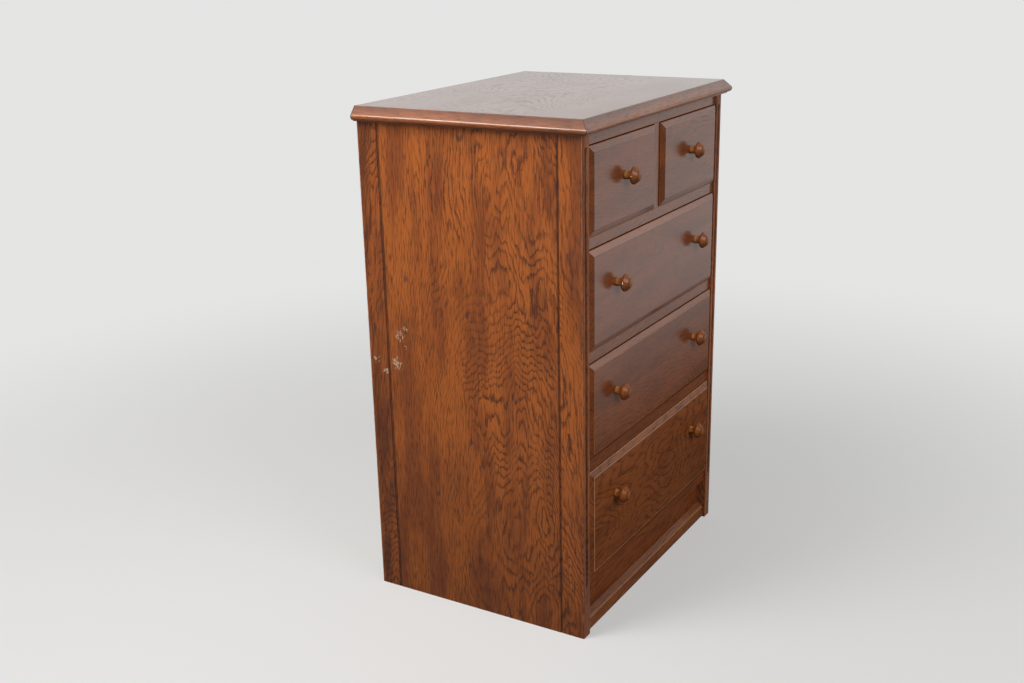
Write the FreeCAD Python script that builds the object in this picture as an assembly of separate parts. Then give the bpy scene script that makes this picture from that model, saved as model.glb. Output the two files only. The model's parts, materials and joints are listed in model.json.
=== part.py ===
"""Chest of drawers in stained oak: two small drawers side by side over three wide ones.

Sizes are in millimetres. X runs to the right as seen from the front, Y to the back and Z up.
The origin is on the floor, under the middle of the whole outline with the knobs counted in.
"""
import FreeCAD
import Part
import math
import os

Vector = FreeCAD.Vector

# Case
case_width = 648.0
case_depth = 494.0
base_height = 97.0
bottom_row_height = 230.0
third_row_height = 198.0
second_row_height = 198.0
top_row_height = 169.5
rail_height = 22.0
top_rail_height = 21.5
rail_depth = 60.0
rail_setback = 5.0
muntin_width = 24.0
muntin_depth = 40.0

# Posts and side panels
post_width = 26.0
front_post_depth = 50.0
rear_post_depth = 48.0
post_round = 2.0
flute_width = 9.0
flute_above_base = 13.0
flute_below_top_rail = 1.0
side_panel_thickness = 15.0
seam_chamfer = 1.2
tongue_length = 8.0
tongue_thickness = 6.0
tenon_length = 12.0
tenon_shoulder = 5.0
joint_slack = 0.1

# Base
apron_setback = 23.0
apron_thickness = 15.0
base_rail_setback = 7.0
base_rail_front_height = 27.0
base_rail_back_height = 35.0
base_rail_round = 3.0
bottom_panel_thickness = 5.0

# Back
back_panel_thickness = 5.0
back_panel_inset = 6.0
back_rebate = 8.0
back_rail_thickness = 20.0
bottom_back_rail_height = 60.0

# Top and its moulding: a narrow land, a chamfer that runs into a bead, and a plain fillet under it
top_thickness = 29.0
top_overhang = 17.5
top_land = 2.8
bead_radius = 7.0
bead_quirk = 1.0
fillet_height = 2.2
top_screw_offsets = (95.0, 240.0)
screw_length = 25.0
screw_radius = 2.0
screw_head_radius = 4.0
screw_head_height = 3.0
counterbore_depth = 8.0
counterbore_clearance = 0.5
screw_clearance = 0.1

# Runners, guides and stops
runner_width = 20.0
guide_rise = 30.0
stop_top_clearance = 2.3
stop_width = 30.0
stop_length = 25.0
stop_inset = 60.0
stop_clearance = 0.3

# Drawers
front_thickness = 20.0
field_proud = 3.0
bevel_width = 12.5
bevel_depth = 6.0
front_side_gap = 1.5
front_top_gap = 1.5
front_bottom_gap = 1.0
box_run_clearance = 0.3
box_top_clearance = 14.0
box_rear_gap = 13.0
box_board_thickness = 12.0
box_lap = 8.0
tail_spacing = 42.0
tail_slope = 1 / 6
pin_width = 11.0
back_housing = 4.0
box_back_inset = 10.0
box_back_drop = 8.0
drawer_bottom_thickness = 5.0
drawer_bottom_rise = 10.0
bottom_groove_depth = 6.0

# Knobs, turned in one piece with a spigot that is glued into the drawer front
wide_knob_offset = 190.0
wide_knob_drop = 83.0
small_knob_drop = 75.5
knob_length = 30.0
knob_foot_radius = 8.6
knob_waist_radius = 7.9
knob_neck_length = 11.5
knob_collar_radius = 10.5
knob_collar_width = 0.5
knob_head_radius = 17.0
knob_widest_at = 18.0
knob_rounding = 4.0
knob_face_radius = 10.2
knob_rim_height = 0.7
knob_rim_width = 0.9
knob_dome_height = 1.8
spigot_radius = 5.0
spigot_cover = 5.0

# Places worked out from the sizes above
half_width = case_width / 2
post_plane = half_width - post_width
panel_plane = half_width - side_panel_thickness
front_reach = max(top_overhang, field_proud + knob_length)
front_y = front_reach - (front_reach + case_depth) / 2
rear_y = front_y + case_depth
front_post_back = front_y + front_post_depth
rear_post_front = rear_y - rear_post_depth
rail_front = front_y + rail_setback
rail_back = rail_front + rail_depth
back_panel_rear = rear_y - back_panel_inset
back_panel_front = back_panel_rear - back_panel_thickness
back_rail_front = back_panel_front - back_rail_thickness
apron_front = front_y + apron_setback
apron_back = apron_front + apron_thickness
field_y = front_y - field_proud
front_back_y = field_y + front_thickness
box_rear = back_panel_front - box_rear_gap
row_heights = (bottom_row_height, third_row_height, second_row_height, top_row_height)
row_names = ("bottom_row", "third_row", "second_row", "top_row")
rail_names = ("bottom_rail", "rail_over_bottom_row", "rail_over_third_row", "rail_over_second_row")

row_spans = []
level = base_height
for row_height in row_heights:
    opening_bottom = level + rail_height
    opening_top = opening_bottom + row_height
    row_spans.append((opening_bottom, opening_top))
    level = opening_top
top_rail_bottom = level
case_height = top_rail_bottom + top_rail_height
top_z = case_height + top_thickness
top_row_bottom = row_spans[-1][0]

parts = {}


def block(x_span, y_span, z_span):
    """A square-edged board between two limits on each axis, given in either order."""
    low = Vector(min(x_span), min(y_span), min(z_span))
    high = Vector(max(x_span), max(y_span), max(z_span))
    size = high - low
    return Part.makeBox(size.x, size.y, size.z, low)


def grown(span, amount):
    """A span widened by the same amount at both ends."""
    return (min(span) - amount, max(span) + amount)


def upright_edges(shape, x, y):
    """The upright edges of a board that stand at one place in plan."""
    found = []
    for edge in shape.Edges:
        box = edge.BoundBox
        upright = box.XLength < 1e-6 and box.YLength < 1e-6
        if upright and abs(box.XMin - x) < 1e-6 and abs(box.YMin - y) < 1e-6:
            found.append(edge)
    return found


def other_side(shape):
    """The same piece for the left side of the chest."""
    return shape.mirror(Vector(0, 0, 0), Vector(1, 0, 0))


def tenon_spans(y_span, z_span, post_solid_y):
    """Where a rail's tenon lies in Y and Z: inside the rail and the post's solid stretch, less a shoulder."""
    y_low = max(min(y_span), min(post_solid_y)) + tenon_shoulder
    y_high = min(max(y_span), max(post_solid_y)) - tenon_shoulder
    z_low = min(z_span) + tenon_shoulder
    z_high = max(z_span) - tenon_shoulder
    return (y_low, y_high), (z_low, z_high)


def tenoned_rail(y_span, z_span, post_solid_y):
    """A rail between the left and right posts, with a stub tenon on each end."""
    tenon_y, tenon_z = tenon_spans(y_span, z_span, post_solid_y)
    reach = post_plane + tenon_length
    body = block((-post_plane, post_plane), y_span, z_span)
    return body.fuse(block((-reach, reach), tenon_y, tenon_z))


def mortise(y_span, z_span, post_solid_y):
    """The hollow in the right post for a rail's tenon."""
    tenon_y, tenon_z = tenon_spans(y_span, z_span, post_solid_y)
    x_span = (post_plane, post_plane + tenon_length + joint_slack)
    return block(x_span, grown(tenon_y, joint_slack), grown(tenon_z, joint_slack))


def tongue_x_span():
    """The tongue runs up the middle of the side panel's thickness."""
    middle = panel_plane + side_panel_thickness / 2
    return (middle - tongue_thickness / 2, middle + tongue_thickness / 2)


front_rail_y = (rail_front, rail_back)
back_rail_y = (back_rail_front, back_panel_front)
front_post_y = (front_y, front_post_back)
front_post_solid_y = (front_y, front_post_back - tongue_length)
rear_post_y = (rear_post_front, rear_y)
rear_post_solid_y = (rear_post_front + tongue_length, rear_y)
case_z = (0, case_height)

front_rail_z = {"top_rail": (top_rail_bottom, case_height)}
for rail_name, row_span in zip(rail_names, row_spans):
    front_rail_z[rail_name] = (row_span[0] - rail_height, row_span[0])
bottom_panel_low = base_height - bottom_panel_thickness
back_rail_z = {
    "back_rail_top": (top_rail_bottom, case_height),
    "back_rail_middle": (top_row_bottom - rail_height, top_row_bottom),
    "back_rail_bottom": (bottom_panel_low - bottom_back_rail_height, bottom_panel_low),
}


def make_front_post():
    """The right front post: rounded outer corner, stopped flute, mortises and a groove for the panel."""
    post = block((post_plane, half_width), front_post_y, case_z)
    post = post.makeFillet(post_round, upright_edges(post, half_width, front_y))
    post = post.makeChamfer(seam_chamfer, upright_edges(post, half_width, front_post_back))
    flute_radius = flute_width / 2
    flute_x = post_plane + post_width / 2
    flute_low = base_height + flute_above_base + flute_radius
    flute_high = top_rail_bottom - flute_below_top_rail - flute_radius
    foot = Vector(flute_x, front_y, flute_low)
    head = Vector(flute_x, front_y, flute_high)
    post = post.cut(Part.makeCylinder(flute_radius, flute_high - flute_low, foot))
    post = post.cut(Part.makeSphere(flute_radius, foot))
    post = post.cut(Part.makeSphere(flute_radius, head))
    for z_span in front_rail_z.values():
        post = post.cut(mortise(front_rail_y, z_span, front_post_solid_y))
    groove_y = (front_post_back - tongue_length - joint_slack, front_post_back)
    return post.cut(block(grown(tongue_x_span(), joint_slack), groove_y, case_z))


def make_rear_post():
    """The right rear post: seam chamfer, groove for the panel, mortises and a rebate for the back."""
    post = block((post_plane, half_width), rear_post_y, case_z)
    post = post.makeChamfer(seam_chamfer, upright_edges(post, half_width, rear_post_front))
    groove_y = (rear_post_front, rear_post_front + tongue_length + joint_slack)
    post = post.cut(block(grown(tongue_x_span(), joint_slack), groove_y, case_z))
    post = post.cut(block((post_plane, post_plane + back_rebate), (back_panel_front, rear_y), case_z))
    for z_span in back_rail_z.values():
        post = post.cut(mortise(back_rail_y, z_span, rear_post_solid_y))
    return post


def make_side_panel():
    """The right side panel, with a chamfer at each seam and a tongue on each edge."""
    panel = block((panel_plane, half_width), (front_post_back, rear_post_front), case_z)
    seams = upright_edges(panel, half_width, front_post_back)
    seams += upright_edges(panel, half_width, rear_post_front)
    panel = panel.makeChamfer(seam_chamfer, seams)
    tongue_y = grown((front_post_back, rear_post_front), tongue_length)
    return panel.fuse(block(tongue_x_span(), tongue_y, case_z))


def add_case_sides():
    """Posts and side panels, made for the right and mirrored for the left."""
    makers = {"front_post": make_front_post, "rear_post": make_rear_post, "side_panel": make_side_panel}
    for name, maker in makers.items():
        right_piece = maker()
        parts[name + "_right"] = right_piece
        parts[name + "_left"] = other_side(right_piece)


def moulding_profile(place):
    """The closed moulding section, from overhang and height over the case to a point in space."""
    bead_out = top_overhang - bead_radius
    bead_up = fillet_height + bead_radius
    fillet_out = bead_out - bead_quirk
    land_over_bead = top_thickness - bead_up
    land_from_bead = top_land - bead_out
    to_land = math.atan2(land_over_bead, land_from_bead)
    bead_start = to_land - math.acos(bead_radius / math.hypot(land_over_bead, land_from_bead))
    bead_end = -math.pi / 2

    def on_bead(turn):
        return place(bead_out + bead_radius * math.cos(turn), bead_up + bead_radius * math.sin(turn))

    bead_bottom = on_bead(bead_end)
    bead_top = on_bead(bead_start)
    bead_middle = on_bead((bead_start + bead_end) / 2)
    after_bead = [bead_top, place(top_land, top_thickness), place(0, top_thickness), place(0, 0)]
    after_bead += [place(fillet_out, 0), place(fillet_out, fillet_height), bead_bottom]
    edges = [Part.Arc(bead_bottom, bead_middle, bead_top).toShape()]
    for start, end in zip(after_bead, after_bead[1:]):
        if start.distanceToPoint(end) > 1e-6:
            edges.append(Part.makeLine(start, end))
    return Part.Face(Part.Wire(edges))


def corner_wedge():
    """The prism on the side's half of the mitre at the right front corner of the top."""
    reach = top_overhang * 2
    corner = Vector(half_width, front_y, case_height)
    along_mitre = corner + Vector(reach, -reach, 0)
    behind = corner + Vector(reach, 0, 0)
    wedge = Part.Face(Part.makePolygon([corner, along_mitre, behind, corner]))
    return wedge.extrude(Vector(0, 0, top_thickness))


def add_top():
    """Top board, its three mitred mouldings, and the screws that hold it down."""
    board = block((-half_width, half_width), (front_y, rear_y), (case_height, top_z))
    nose_x = half_width + top_overhang
    front_face = moulding_profile(lambda out, up: Vector(-nose_x, front_y - out, case_height + up))
    front = front_face.extrude(Vector(2 * nose_x, 0, 0))
    wedge = corner_wedge()
    outside = block((half_width, nose_x), (front_y, rear_y), (case_height, top_z))
    for side_piece in (wedge, other_side(wedge)):
        front = front.cut(side_piece)
    side_face = moulding_profile(
        lambda out, up: Vector(half_width + out, front_y - top_overhang, case_height + up))
    side = side_face.extrude(Vector(0, case_depth + top_overhang, 0))
    side = side.common(outside.fuse(wedge))
    screw, hole = make_top_screw()
    screws = []
    rails = {"top_rail": front_rail_y, "back_rail_top": back_rail_y}
    for rail_name, rail_y in rails.items():
        for offset in top_screw_offsets:
            for screw_x in (-offset, offset):
                place = Vector(screw_x, sum(rail_y) / 2, top_rail_bottom)
                screws.append(screw.translated(place))
                parts[rail_name] = parts[rail_name].cut(hole.translated(place))
                board = board.cut(hole.translated(place))
    parts["top_board"] = board
    parts["top_moulding_front"] = front
    parts["top_moulding_right"] = side
    parts["top_moulding_left"] = other_side(side)
    parts["top_screws"] = Part.makeCompound(screws)


def make_top_screw():
    """A wood screw standing on its head in a counterbore, and the hole for it, from the rail's underside."""
    seat = Vector(0, 0, counterbore_depth)
    shank = Part.makeCylinder(screw_radius, screw_length, seat)
    head_foot = seat - Vector(0, 0, screw_head_height)
    head = Part.makeCylinder(screw_head_radius, screw_head_height, head_foot)
    bore = Part.makeCylinder(screw_radius + screw_clearance, screw_length + screw_clearance, seat)
    counterbore = Part.makeCylinder(screw_head_radius + counterbore_clearance, counterbore_depth)
    return shank.fuse(head), bore.fuse(counterbore)


def add_front_frame():
    """Rails, muntin, apron and base rail."""
    for name, z_span in front_rail_z.items():
        parts[name] = tenoned_rail(front_rail_y, z_span, front_post_solid_y)
    muntin_x = (-muntin_width / 2, muntin_width / 2)
    muntin_y = (rail_front, rail_front + muntin_depth)
    tenon_x = grown(muntin_x, -tenon_shoulder)
    tenon_y = grown(muntin_y, -tenon_shoulder)
    stub = block(tenon_x, tenon_y, grown(row_spans[-1], tenon_length))
    parts["muntin"] = block(muntin_x, muntin_y, row_spans[-1]).fuse(stub)
    pocket_z = grown(row_spans[-1], tenon_length + joint_slack)
    pocket = block(grown(tenon_x, joint_slack), grown(tenon_y, joint_slack), pocket_z)
    for name in ("top_rail", "rail_over_second_row"):
        parts[name] = parts[name].cut(pocket)
    between_posts = (-post_plane, post_plane)
    parts["apron"] = block(between_posts, (apron_front, apron_back), (0, base_height))
    base_front = front_y + base_rail_setback
    outline = [(base_front, 0), (apron_front, 0), (apron_front, base_rail_back_height)]
    outline += [(base_front, base_rail_front_height), (base_front, 0)]
    corners = [Vector(-post_plane, y, z) for y, z in outline]
    base_rail = Part.Face(Part.makePolygon(corners)).extrude(Vector(2 * post_plane, 0, 0))
    nosing = []
    for edge in base_rail.Edges:
        box = edge.BoundBox
        long_edge = box.XLength > post_plane
        if long_edge and abs(box.YMin - base_front) < 1e-6 and box.ZMin > base_rail_front_height / 2:
            nosing.append(edge)
    parts["base_rail"] = base_rail.makeFillet(base_rail_round, nosing)


def add_back_and_bottom():
    """Back rails, the back panel in its rebates and the bottom panel."""
    for name, z_span in back_rail_z.items():
        parts[name] = tenoned_rail(back_rail_y, z_span, rear_post_solid_y)
    panel_reach = post_plane + back_rebate - joint_slack
    panel_z = (back_rail_z["back_rail_bottom"][0], case_height)
    parts["back_panel"] = block((-panel_reach, panel_reach), (back_panel_front, back_panel_rear), panel_z)
    bottom_y = (apron_back, back_panel_front)
    parts["bottom_panel"] = block((-post_plane, post_plane), bottom_y, (bottom_panel_low, base_height))


def add_runners():
    """Runners behind each rail, level with its top, and the guides beside the drawers."""
    guides = []
    runner_y = (rail_back, back_rail_front)
    guide_y = (front_post_back, rear_post_front)
    for row_name, row_span in zip(row_names, row_spans):
        runner_z = (row_span[0] - rail_height, row_span[0])
        guide_z = (row_span[0] - rail_height, row_span[0] + guide_rise)
        runners = []
        for side in (-1, 1):
            inner = side * (post_plane - runner_width)
            runners.append(block((inner, side * post_plane), runner_y, runner_z))
            guides.append(block((side * post_plane, side * panel_plane), guide_y, guide_z))
        if row_name == "top_row":
            middle = muntin_width / 2 + runner_width
            runners.append(block((-middle, middle), runner_y, runner_z))
        parts["runners_" + row_name] = Part.makeCompound(runners)
    middle_guide_y = (rail_front + muntin_depth, back_rail_front)
    middle_guide_z = (top_row_bottom, top_row_bottom + guide_rise)
    guides.append(block((-muntin_width / 2, muntin_width / 2), middle_guide_y, middle_guide_z))
    parts["drawer_guides"] = Part.makeCompound(guides)


def rectangle(x_span, z_span, y):
    """A closed rectangle facing the front."""
    corners = [(x_span[0], z_span[0]), (x_span[1], z_span[0]), (x_span[1], z_span[1]), (x_span[0], z_span[1])]
    points = [Vector(x, y, z) for x, z in corners + corners[:1]]
    return Part.makePolygon(points)


def make_drawer_front(x_span, z_span, box_z, knob_places):
    """A front with a raised field: bevelled all round, lapped for the sides, bored for the knobs."""
    bevel_y = field_y + bevel_depth
    field_x = grown(x_span, -bevel_width)
    field_z = grown(z_span, -bevel_width)
    slab = block(x_span, (bevel_y, front_back_y), z_span)
    sections = [rectangle(x_span, z_span, bevel_y), rectangle(field_x, field_z, field_y)]
    front = slab.fuse(Part.makeLoft(sections, True, True)).removeSplitter()
    for side_x in side_x_spans(x_span):
        for tail in dovetails(side_x, box_z):
            front = front.cut(tail)
    groove_x = grown(x_span, -box_board_thickness)
    groove_y = (front_back_y - bottom_groove_depth, front_back_y)
    front = front.cut(block(groove_x, groove_y, bottom_z_span(box_z)))
    bore_radius = spigot_radius + joint_slack
    bore_depth = front_thickness - spigot_cover + joint_slack
    for knob_x, knob_z in knob_places:
        bore_start = Vector(knob_x, field_y, knob_z)
        front = front.cut(Part.makeCylinder(bore_radius, bore_depth, bore_start, Vector(0, 1, 0)))
    return front


def side_x_spans(front_x):
    """Where the left and right sides of a drawer lie, flush with the ends of its front."""
    left = (front_x[0], front_x[0] + box_board_thickness)
    right = (front_x[1] - box_board_thickness, front_x[1])
    return left, right


def dovetails(side_x, box_z):
    """The tails on the front end of a drawer side, which widen into the sockets of the front."""
    box_height = box_z[1] - box_z[0]
    count = max(2, round(box_height / tail_spacing))
    pitch = box_height / count
    shoulder_half = (pitch - pin_width) / 2
    lap_half = shoulder_half + box_lap * tail_slope
    lap_front = front_back_y - box_lap
    tails = []
    for index in range(count):
        middle = box_z[0] + (index + 0.5) * pitch
        outline = [(front_back_y, middle - shoulder_half), (lap_front, middle - lap_half)]
        outline += [(lap_front, middle + lap_half), (front_back_y, middle + shoulder_half)]
        corners = [Vector(side_x[0], y, z) for y, z in outline + outline[:1]]
        tails.append(Part.Face(Part.makePolygon(corners)).extrude(Vector(side_x[1] - side_x[0], 0, 0)))
    return tails


def box_z_span(opening_z):
    """The height of a drawer box: just above its runners, and short of the rail above."""
    return (opening_z[0] + box_run_clearance, opening_z[1] - box_top_clearance)


def bottom_z_span(box_z):
    """The height at which the drawer bottom lies in its grooves."""
    low = box_z[0] + drawer_bottom_rise
    return (low, low + drawer_bottom_thickness)


def make_knob(knob_x, knob_z):
    """A turned knob: waisted neck, collar, a head of two cones rounded at the widest, rim and domed face."""
    rounding_centre = knob_head_radius - knob_rounding
    collar_end = knob_neck_length + knob_collar_width
    dome_start = knob_length - knob_dome_height
    face_start = dome_start - knob_rim_height
    dome_radius = knob_face_radius - knob_rim_width
    dome_sphere = (dome_radius ** 2 + knob_dome_height ** 2) / (2 * knob_dome_height)
    dome_half_turn = math.asin(dome_radius / dome_sphere) / 2
    spigot_end = -(front_thickness - spigot_cover)

    def at(out, radius):
        return Vector(knob_x + radius, field_y - out, knob_z)

    def on_rounding(turn):
        out = knob_widest_at + knob_rounding * math.cos(turn)
        return at(out, rounding_centre + knob_rounding * math.sin(turn))

    def touch(out, radius, way):
        """The turn at which a straight line from a circle of the knob touches the rounding."""
        along = out - knob_widest_at
        rise = radius - rounding_centre
        spread = math.acos(knob_rounding / math.hypot(along, rise))
        return (math.atan2(rise, along) + way * spread) % (2 * math.pi)

    rear_touch = touch(collar_end, knob_collar_radius, -1)
    front_touch = touch(face_start, knob_face_radius, 1)
    widest = on_rounding((rear_touch + front_touch) / 2)
    foot = at(0, knob_foot_radius)
    neck_end = at(knob_neck_length, knob_foot_radius)
    collar = at(knob_neck_length, knob_collar_radius)
    shoulder = at(collar_end, knob_collar_radius)
    face = at(face_start, knob_face_radius)
    dome_edge = at(dome_start, dome_radius)
    dome_side = at(knob_length - dome_sphere * (1 - math.cos(dome_half_turn)),
                   dome_sphere * math.sin(dome_half_turn))
    edges = [
        Part.makeLine(at(spigot_end, 0), at(spigot_end, spigot_radius)),
        Part.makeLine(at(spigot_end, spigot_radius), at(0, spigot_radius)),
        Part.makeLine(at(0, spigot_radius), foot),
        Part.Arc(foot, at(knob_neck_length / 2, knob_waist_radius), neck_end).toShape(),
        Part.makeLine(neck_end, collar),
        Part.makeLine(collar, shoulder),
        Part.makeLine(shoulder, on_rounding(rear_touch)),
        Part.Arc(on_rounding(rear_touch), widest, on_rounding(front_touch)).toShape(),
        Part.makeLine(on_rounding(front_touch), face),
        Part.makeLine(face, dome_edge),
        Part.Arc(dome_edge, dome_side, at(knob_length, 0)).toShape(),
        Part.makeLine(at(knob_length, 0), at(spigot_end, 0)),
    ]
    section = Part.Face(Part.Wire(Part.__sortEdges__(edges)))
    return section.revolve(Vector(knob_x, field_y, knob_z), Vector(0, 1, 0), 360)


def add_drawer(name, opening_x, opening_z, knob_offsets, knob_drop):
    """One drawer: front, two sides, back, bottom and its knobs."""
    front_x = grown(opening_x, -front_side_gap)
    front_z = (opening_z[0] + front_bottom_gap, opening_z[1] - front_top_gap)
    box_z = box_z_span(opening_z)
    middle_x = sum(opening_x) / 2
    knob_z = opening_z[1] - knob_drop
    knob_places = [(middle_x + offset, knob_z) for offset in knob_offsets]
    inner_x = grown(front_x, -box_board_thickness)
    back_rear = box_rear - box_back_inset
    back_y = (back_rear - box_board_thickness, back_rear)
    bottom_z = bottom_z_span(box_z)
    back_z = (bottom_z[1], box_z[1] - box_back_drop)
    housing = block(grown(inner_x, back_housing), back_y, back_z)
    bottom_x = grown(inner_x, bottom_groove_depth)
    groove = block(bottom_x, (front_back_y, box_rear), bottom_z)
    bottom_y = (front_back_y - bottom_groove_depth, back_rear)
    bottom = block(grown(bottom_x, -joint_slack), (front_back_y, back_rear), bottom_z)
    bottom_lip = block(inner_x, bottom_y, bottom_z)
    parts[name + "_front"] = make_drawer_front(front_x, front_z, box_z, knob_places)
    for side_name, side_x in zip(("_left_side", "_right_side"), side_x_spans(front_x)):
        board = block(side_x, (front_back_y, box_rear), box_z).cut(groove).cut(housing)
        parts[name + side_name] = board.fuse(dovetails(side_x, box_z)).removeSplitter()
    parts[name + "_back"] = block(grown(inner_x, back_housing - joint_slack), back_y, back_z)
    parts[name + "_bottom"] = bottom.fuse(bottom_lip).removeSplitter()
    knobs = [make_knob(knob_x, knob_z) for knob_x, knob_z in knob_places]
    suffix = "_knob" if len(knobs) == 1 else "_knobs"
    parts[name + suffix] = Part.makeCompound(knobs)


def stops_for(opening_x, opening_z):
    """Two small blocks on the rail that the back of a drawer front comes up against."""
    stop_front = front_back_y + stop_clearance
    stop_z = (opening_z[0], bottom_z_span(box_z_span(opening_z))[0] - stop_top_clearance)
    blocks = []
    for inset_from in (opening_x[0] + stop_inset, opening_x[1] - stop_inset - stop_width):
        x_span = (inset_from, inset_from + stop_width)
        blocks.append(block(x_span, (stop_front, stop_front + stop_length), stop_z))
    return blocks


def add_drawers():
    """The five drawers and their stops."""
    wide_x = (-post_plane, post_plane)
    left_x = (-post_plane, -muntin_width / 2)
    right_x = (muntin_width / 2, post_plane)
    pair = (-wide_knob_offset, wide_knob_offset)
    drawers = [
        ("bottom_drawer", wide_x, row_spans[0], pair, wide_knob_drop),
        ("third_drawer", wide_x, row_spans[1], pair, wide_knob_drop),
        ("second_drawer", wide_x, row_spans[2], pair, wide_knob_drop),
        ("top_left_drawer", left_x, row_spans[3], (0,), small_knob_drop),
        ("top_right_drawer", right_x, row_spans[3], (0,), small_knob_drop),
    ]
    stops = []
    for name, opening_x, opening_z, knob_offsets, knob_drop in drawers:
        add_drawer(name, opening_x, opening_z, knob_offsets, knob_drop)
        stops += stops_for(opening_x, opening_z)
    parts["drawer_stops"] = Part.makeCompound(stops)


add_case_sides()
add_front_frame()
add_back_and_bottom()
add_top()
add_runners()
add_drawers()

os.makedirs("parts", exist_ok=True)
for node_name, node_shape in parts.items():
    node_shape.exportStep("parts/" + node_name + ".step")
print(len(parts), "nodes, overall height", top_z)
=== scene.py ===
"""Looks of an oak chest of drawers: two small drawers side by side over three wide ones.

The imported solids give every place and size. The pieces that show are built again as numpy surfaces with
rounded arrises, and the pieces inside keep their solids. Lengths are in metres, X runs to the right as seen
from the front, Y to the back and Z up.
"""
import json
import logging
import math
from collections.abc import Sequence
from dataclasses import dataclass, replace
from enum import Enum

import bmesh
import bpy
import numpy as np
from mathutils import Matrix, Vector

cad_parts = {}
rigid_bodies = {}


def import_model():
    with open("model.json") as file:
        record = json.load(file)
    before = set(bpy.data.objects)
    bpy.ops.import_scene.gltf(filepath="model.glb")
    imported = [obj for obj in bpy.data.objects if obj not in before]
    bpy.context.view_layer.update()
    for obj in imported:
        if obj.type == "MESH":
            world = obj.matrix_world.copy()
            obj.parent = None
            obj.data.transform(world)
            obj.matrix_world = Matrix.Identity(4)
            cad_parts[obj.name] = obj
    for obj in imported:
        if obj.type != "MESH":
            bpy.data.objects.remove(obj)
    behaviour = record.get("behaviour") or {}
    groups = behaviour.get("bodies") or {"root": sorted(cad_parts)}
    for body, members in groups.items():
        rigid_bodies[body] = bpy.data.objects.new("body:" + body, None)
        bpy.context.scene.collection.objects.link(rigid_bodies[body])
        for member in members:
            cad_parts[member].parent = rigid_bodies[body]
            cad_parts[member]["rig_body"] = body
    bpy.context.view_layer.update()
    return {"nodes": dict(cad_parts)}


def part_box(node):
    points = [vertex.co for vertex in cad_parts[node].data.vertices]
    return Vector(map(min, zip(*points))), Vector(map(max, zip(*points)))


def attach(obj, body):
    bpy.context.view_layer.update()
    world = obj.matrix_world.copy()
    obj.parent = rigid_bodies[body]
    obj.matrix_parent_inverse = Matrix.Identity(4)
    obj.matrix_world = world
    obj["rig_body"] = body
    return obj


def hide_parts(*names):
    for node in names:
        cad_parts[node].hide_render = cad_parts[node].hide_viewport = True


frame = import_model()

MM = 0.001
SMOOTH_ANGLE = math.radians(28.0)
WELD_DISTANCE = 1e-6
SPREAD_LIMIT = 0.2
ENDS = np.array((0.0, 1.0))
VECTOR = "NodeSocketVector"
NUMBER = "NodeSocketFloat"

Array = np.ndarray
Colour = tuple[float, float, float]
Place = tuple[float, float, float]
Span = tuple[float, float]
Socket = bpy.types.NodeSocket

log = logging.getLogger("chest")


class Axis(Enum):
    """An axis of the chest."""

    X = 0
    Y = 1
    Z = 2

    def others(self) -> tuple[int, int]:
        """The two axes that follow this one in the round X, Y, Z, X."""
        return (self.value + 1) % 3, (self.value + 2) % 3


class Side(Enum):
    """A side of the chest, as seen from the front."""

    LEFT = "left"
    RIGHT = "right"


# Surfaces


@dataclass(frozen=True)
class Profile:
    """A section line: its points, how worn the wood is at each, and how dark soiling and painted shade make
    it.
    """

    points: Array
    wear: Array
    grime_and_shade: Array

    @staticmethod
    def chain(lines: Sequence["Profile"]) -> "Profile":
        """Joins section lines end to end.

        Args:
            lines: Section lines, each starting where the one before it ends.

        Returns:
            One line, with each shared point kept once and the last point dropped, since the section closes.
        """
        open_lines = [line.part(slice(None, -1)) for line in lines]
        rows = zip(*((line.points, line.wear, line.grime_and_shade) for line in open_lines))
        return Profile(*(np.concatenate(row) for row in rows))

    def part(self, kept: slice) -> "Profile":
        """A stretch of the line."""
        return Profile(self.points[kept], self.wear[kept], self.grime_and_shade[kept])


@dataclass(frozen=True)
class Corner:
    """A corner of a section line: its place, rounding and wear, and how dark soiling and painted shade make
    it.
    """

    first: float
    second: float
    radius: float = 0.6 * MM
    wear: float = 0.0
    grime_and_shade: float = 0.0


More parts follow.
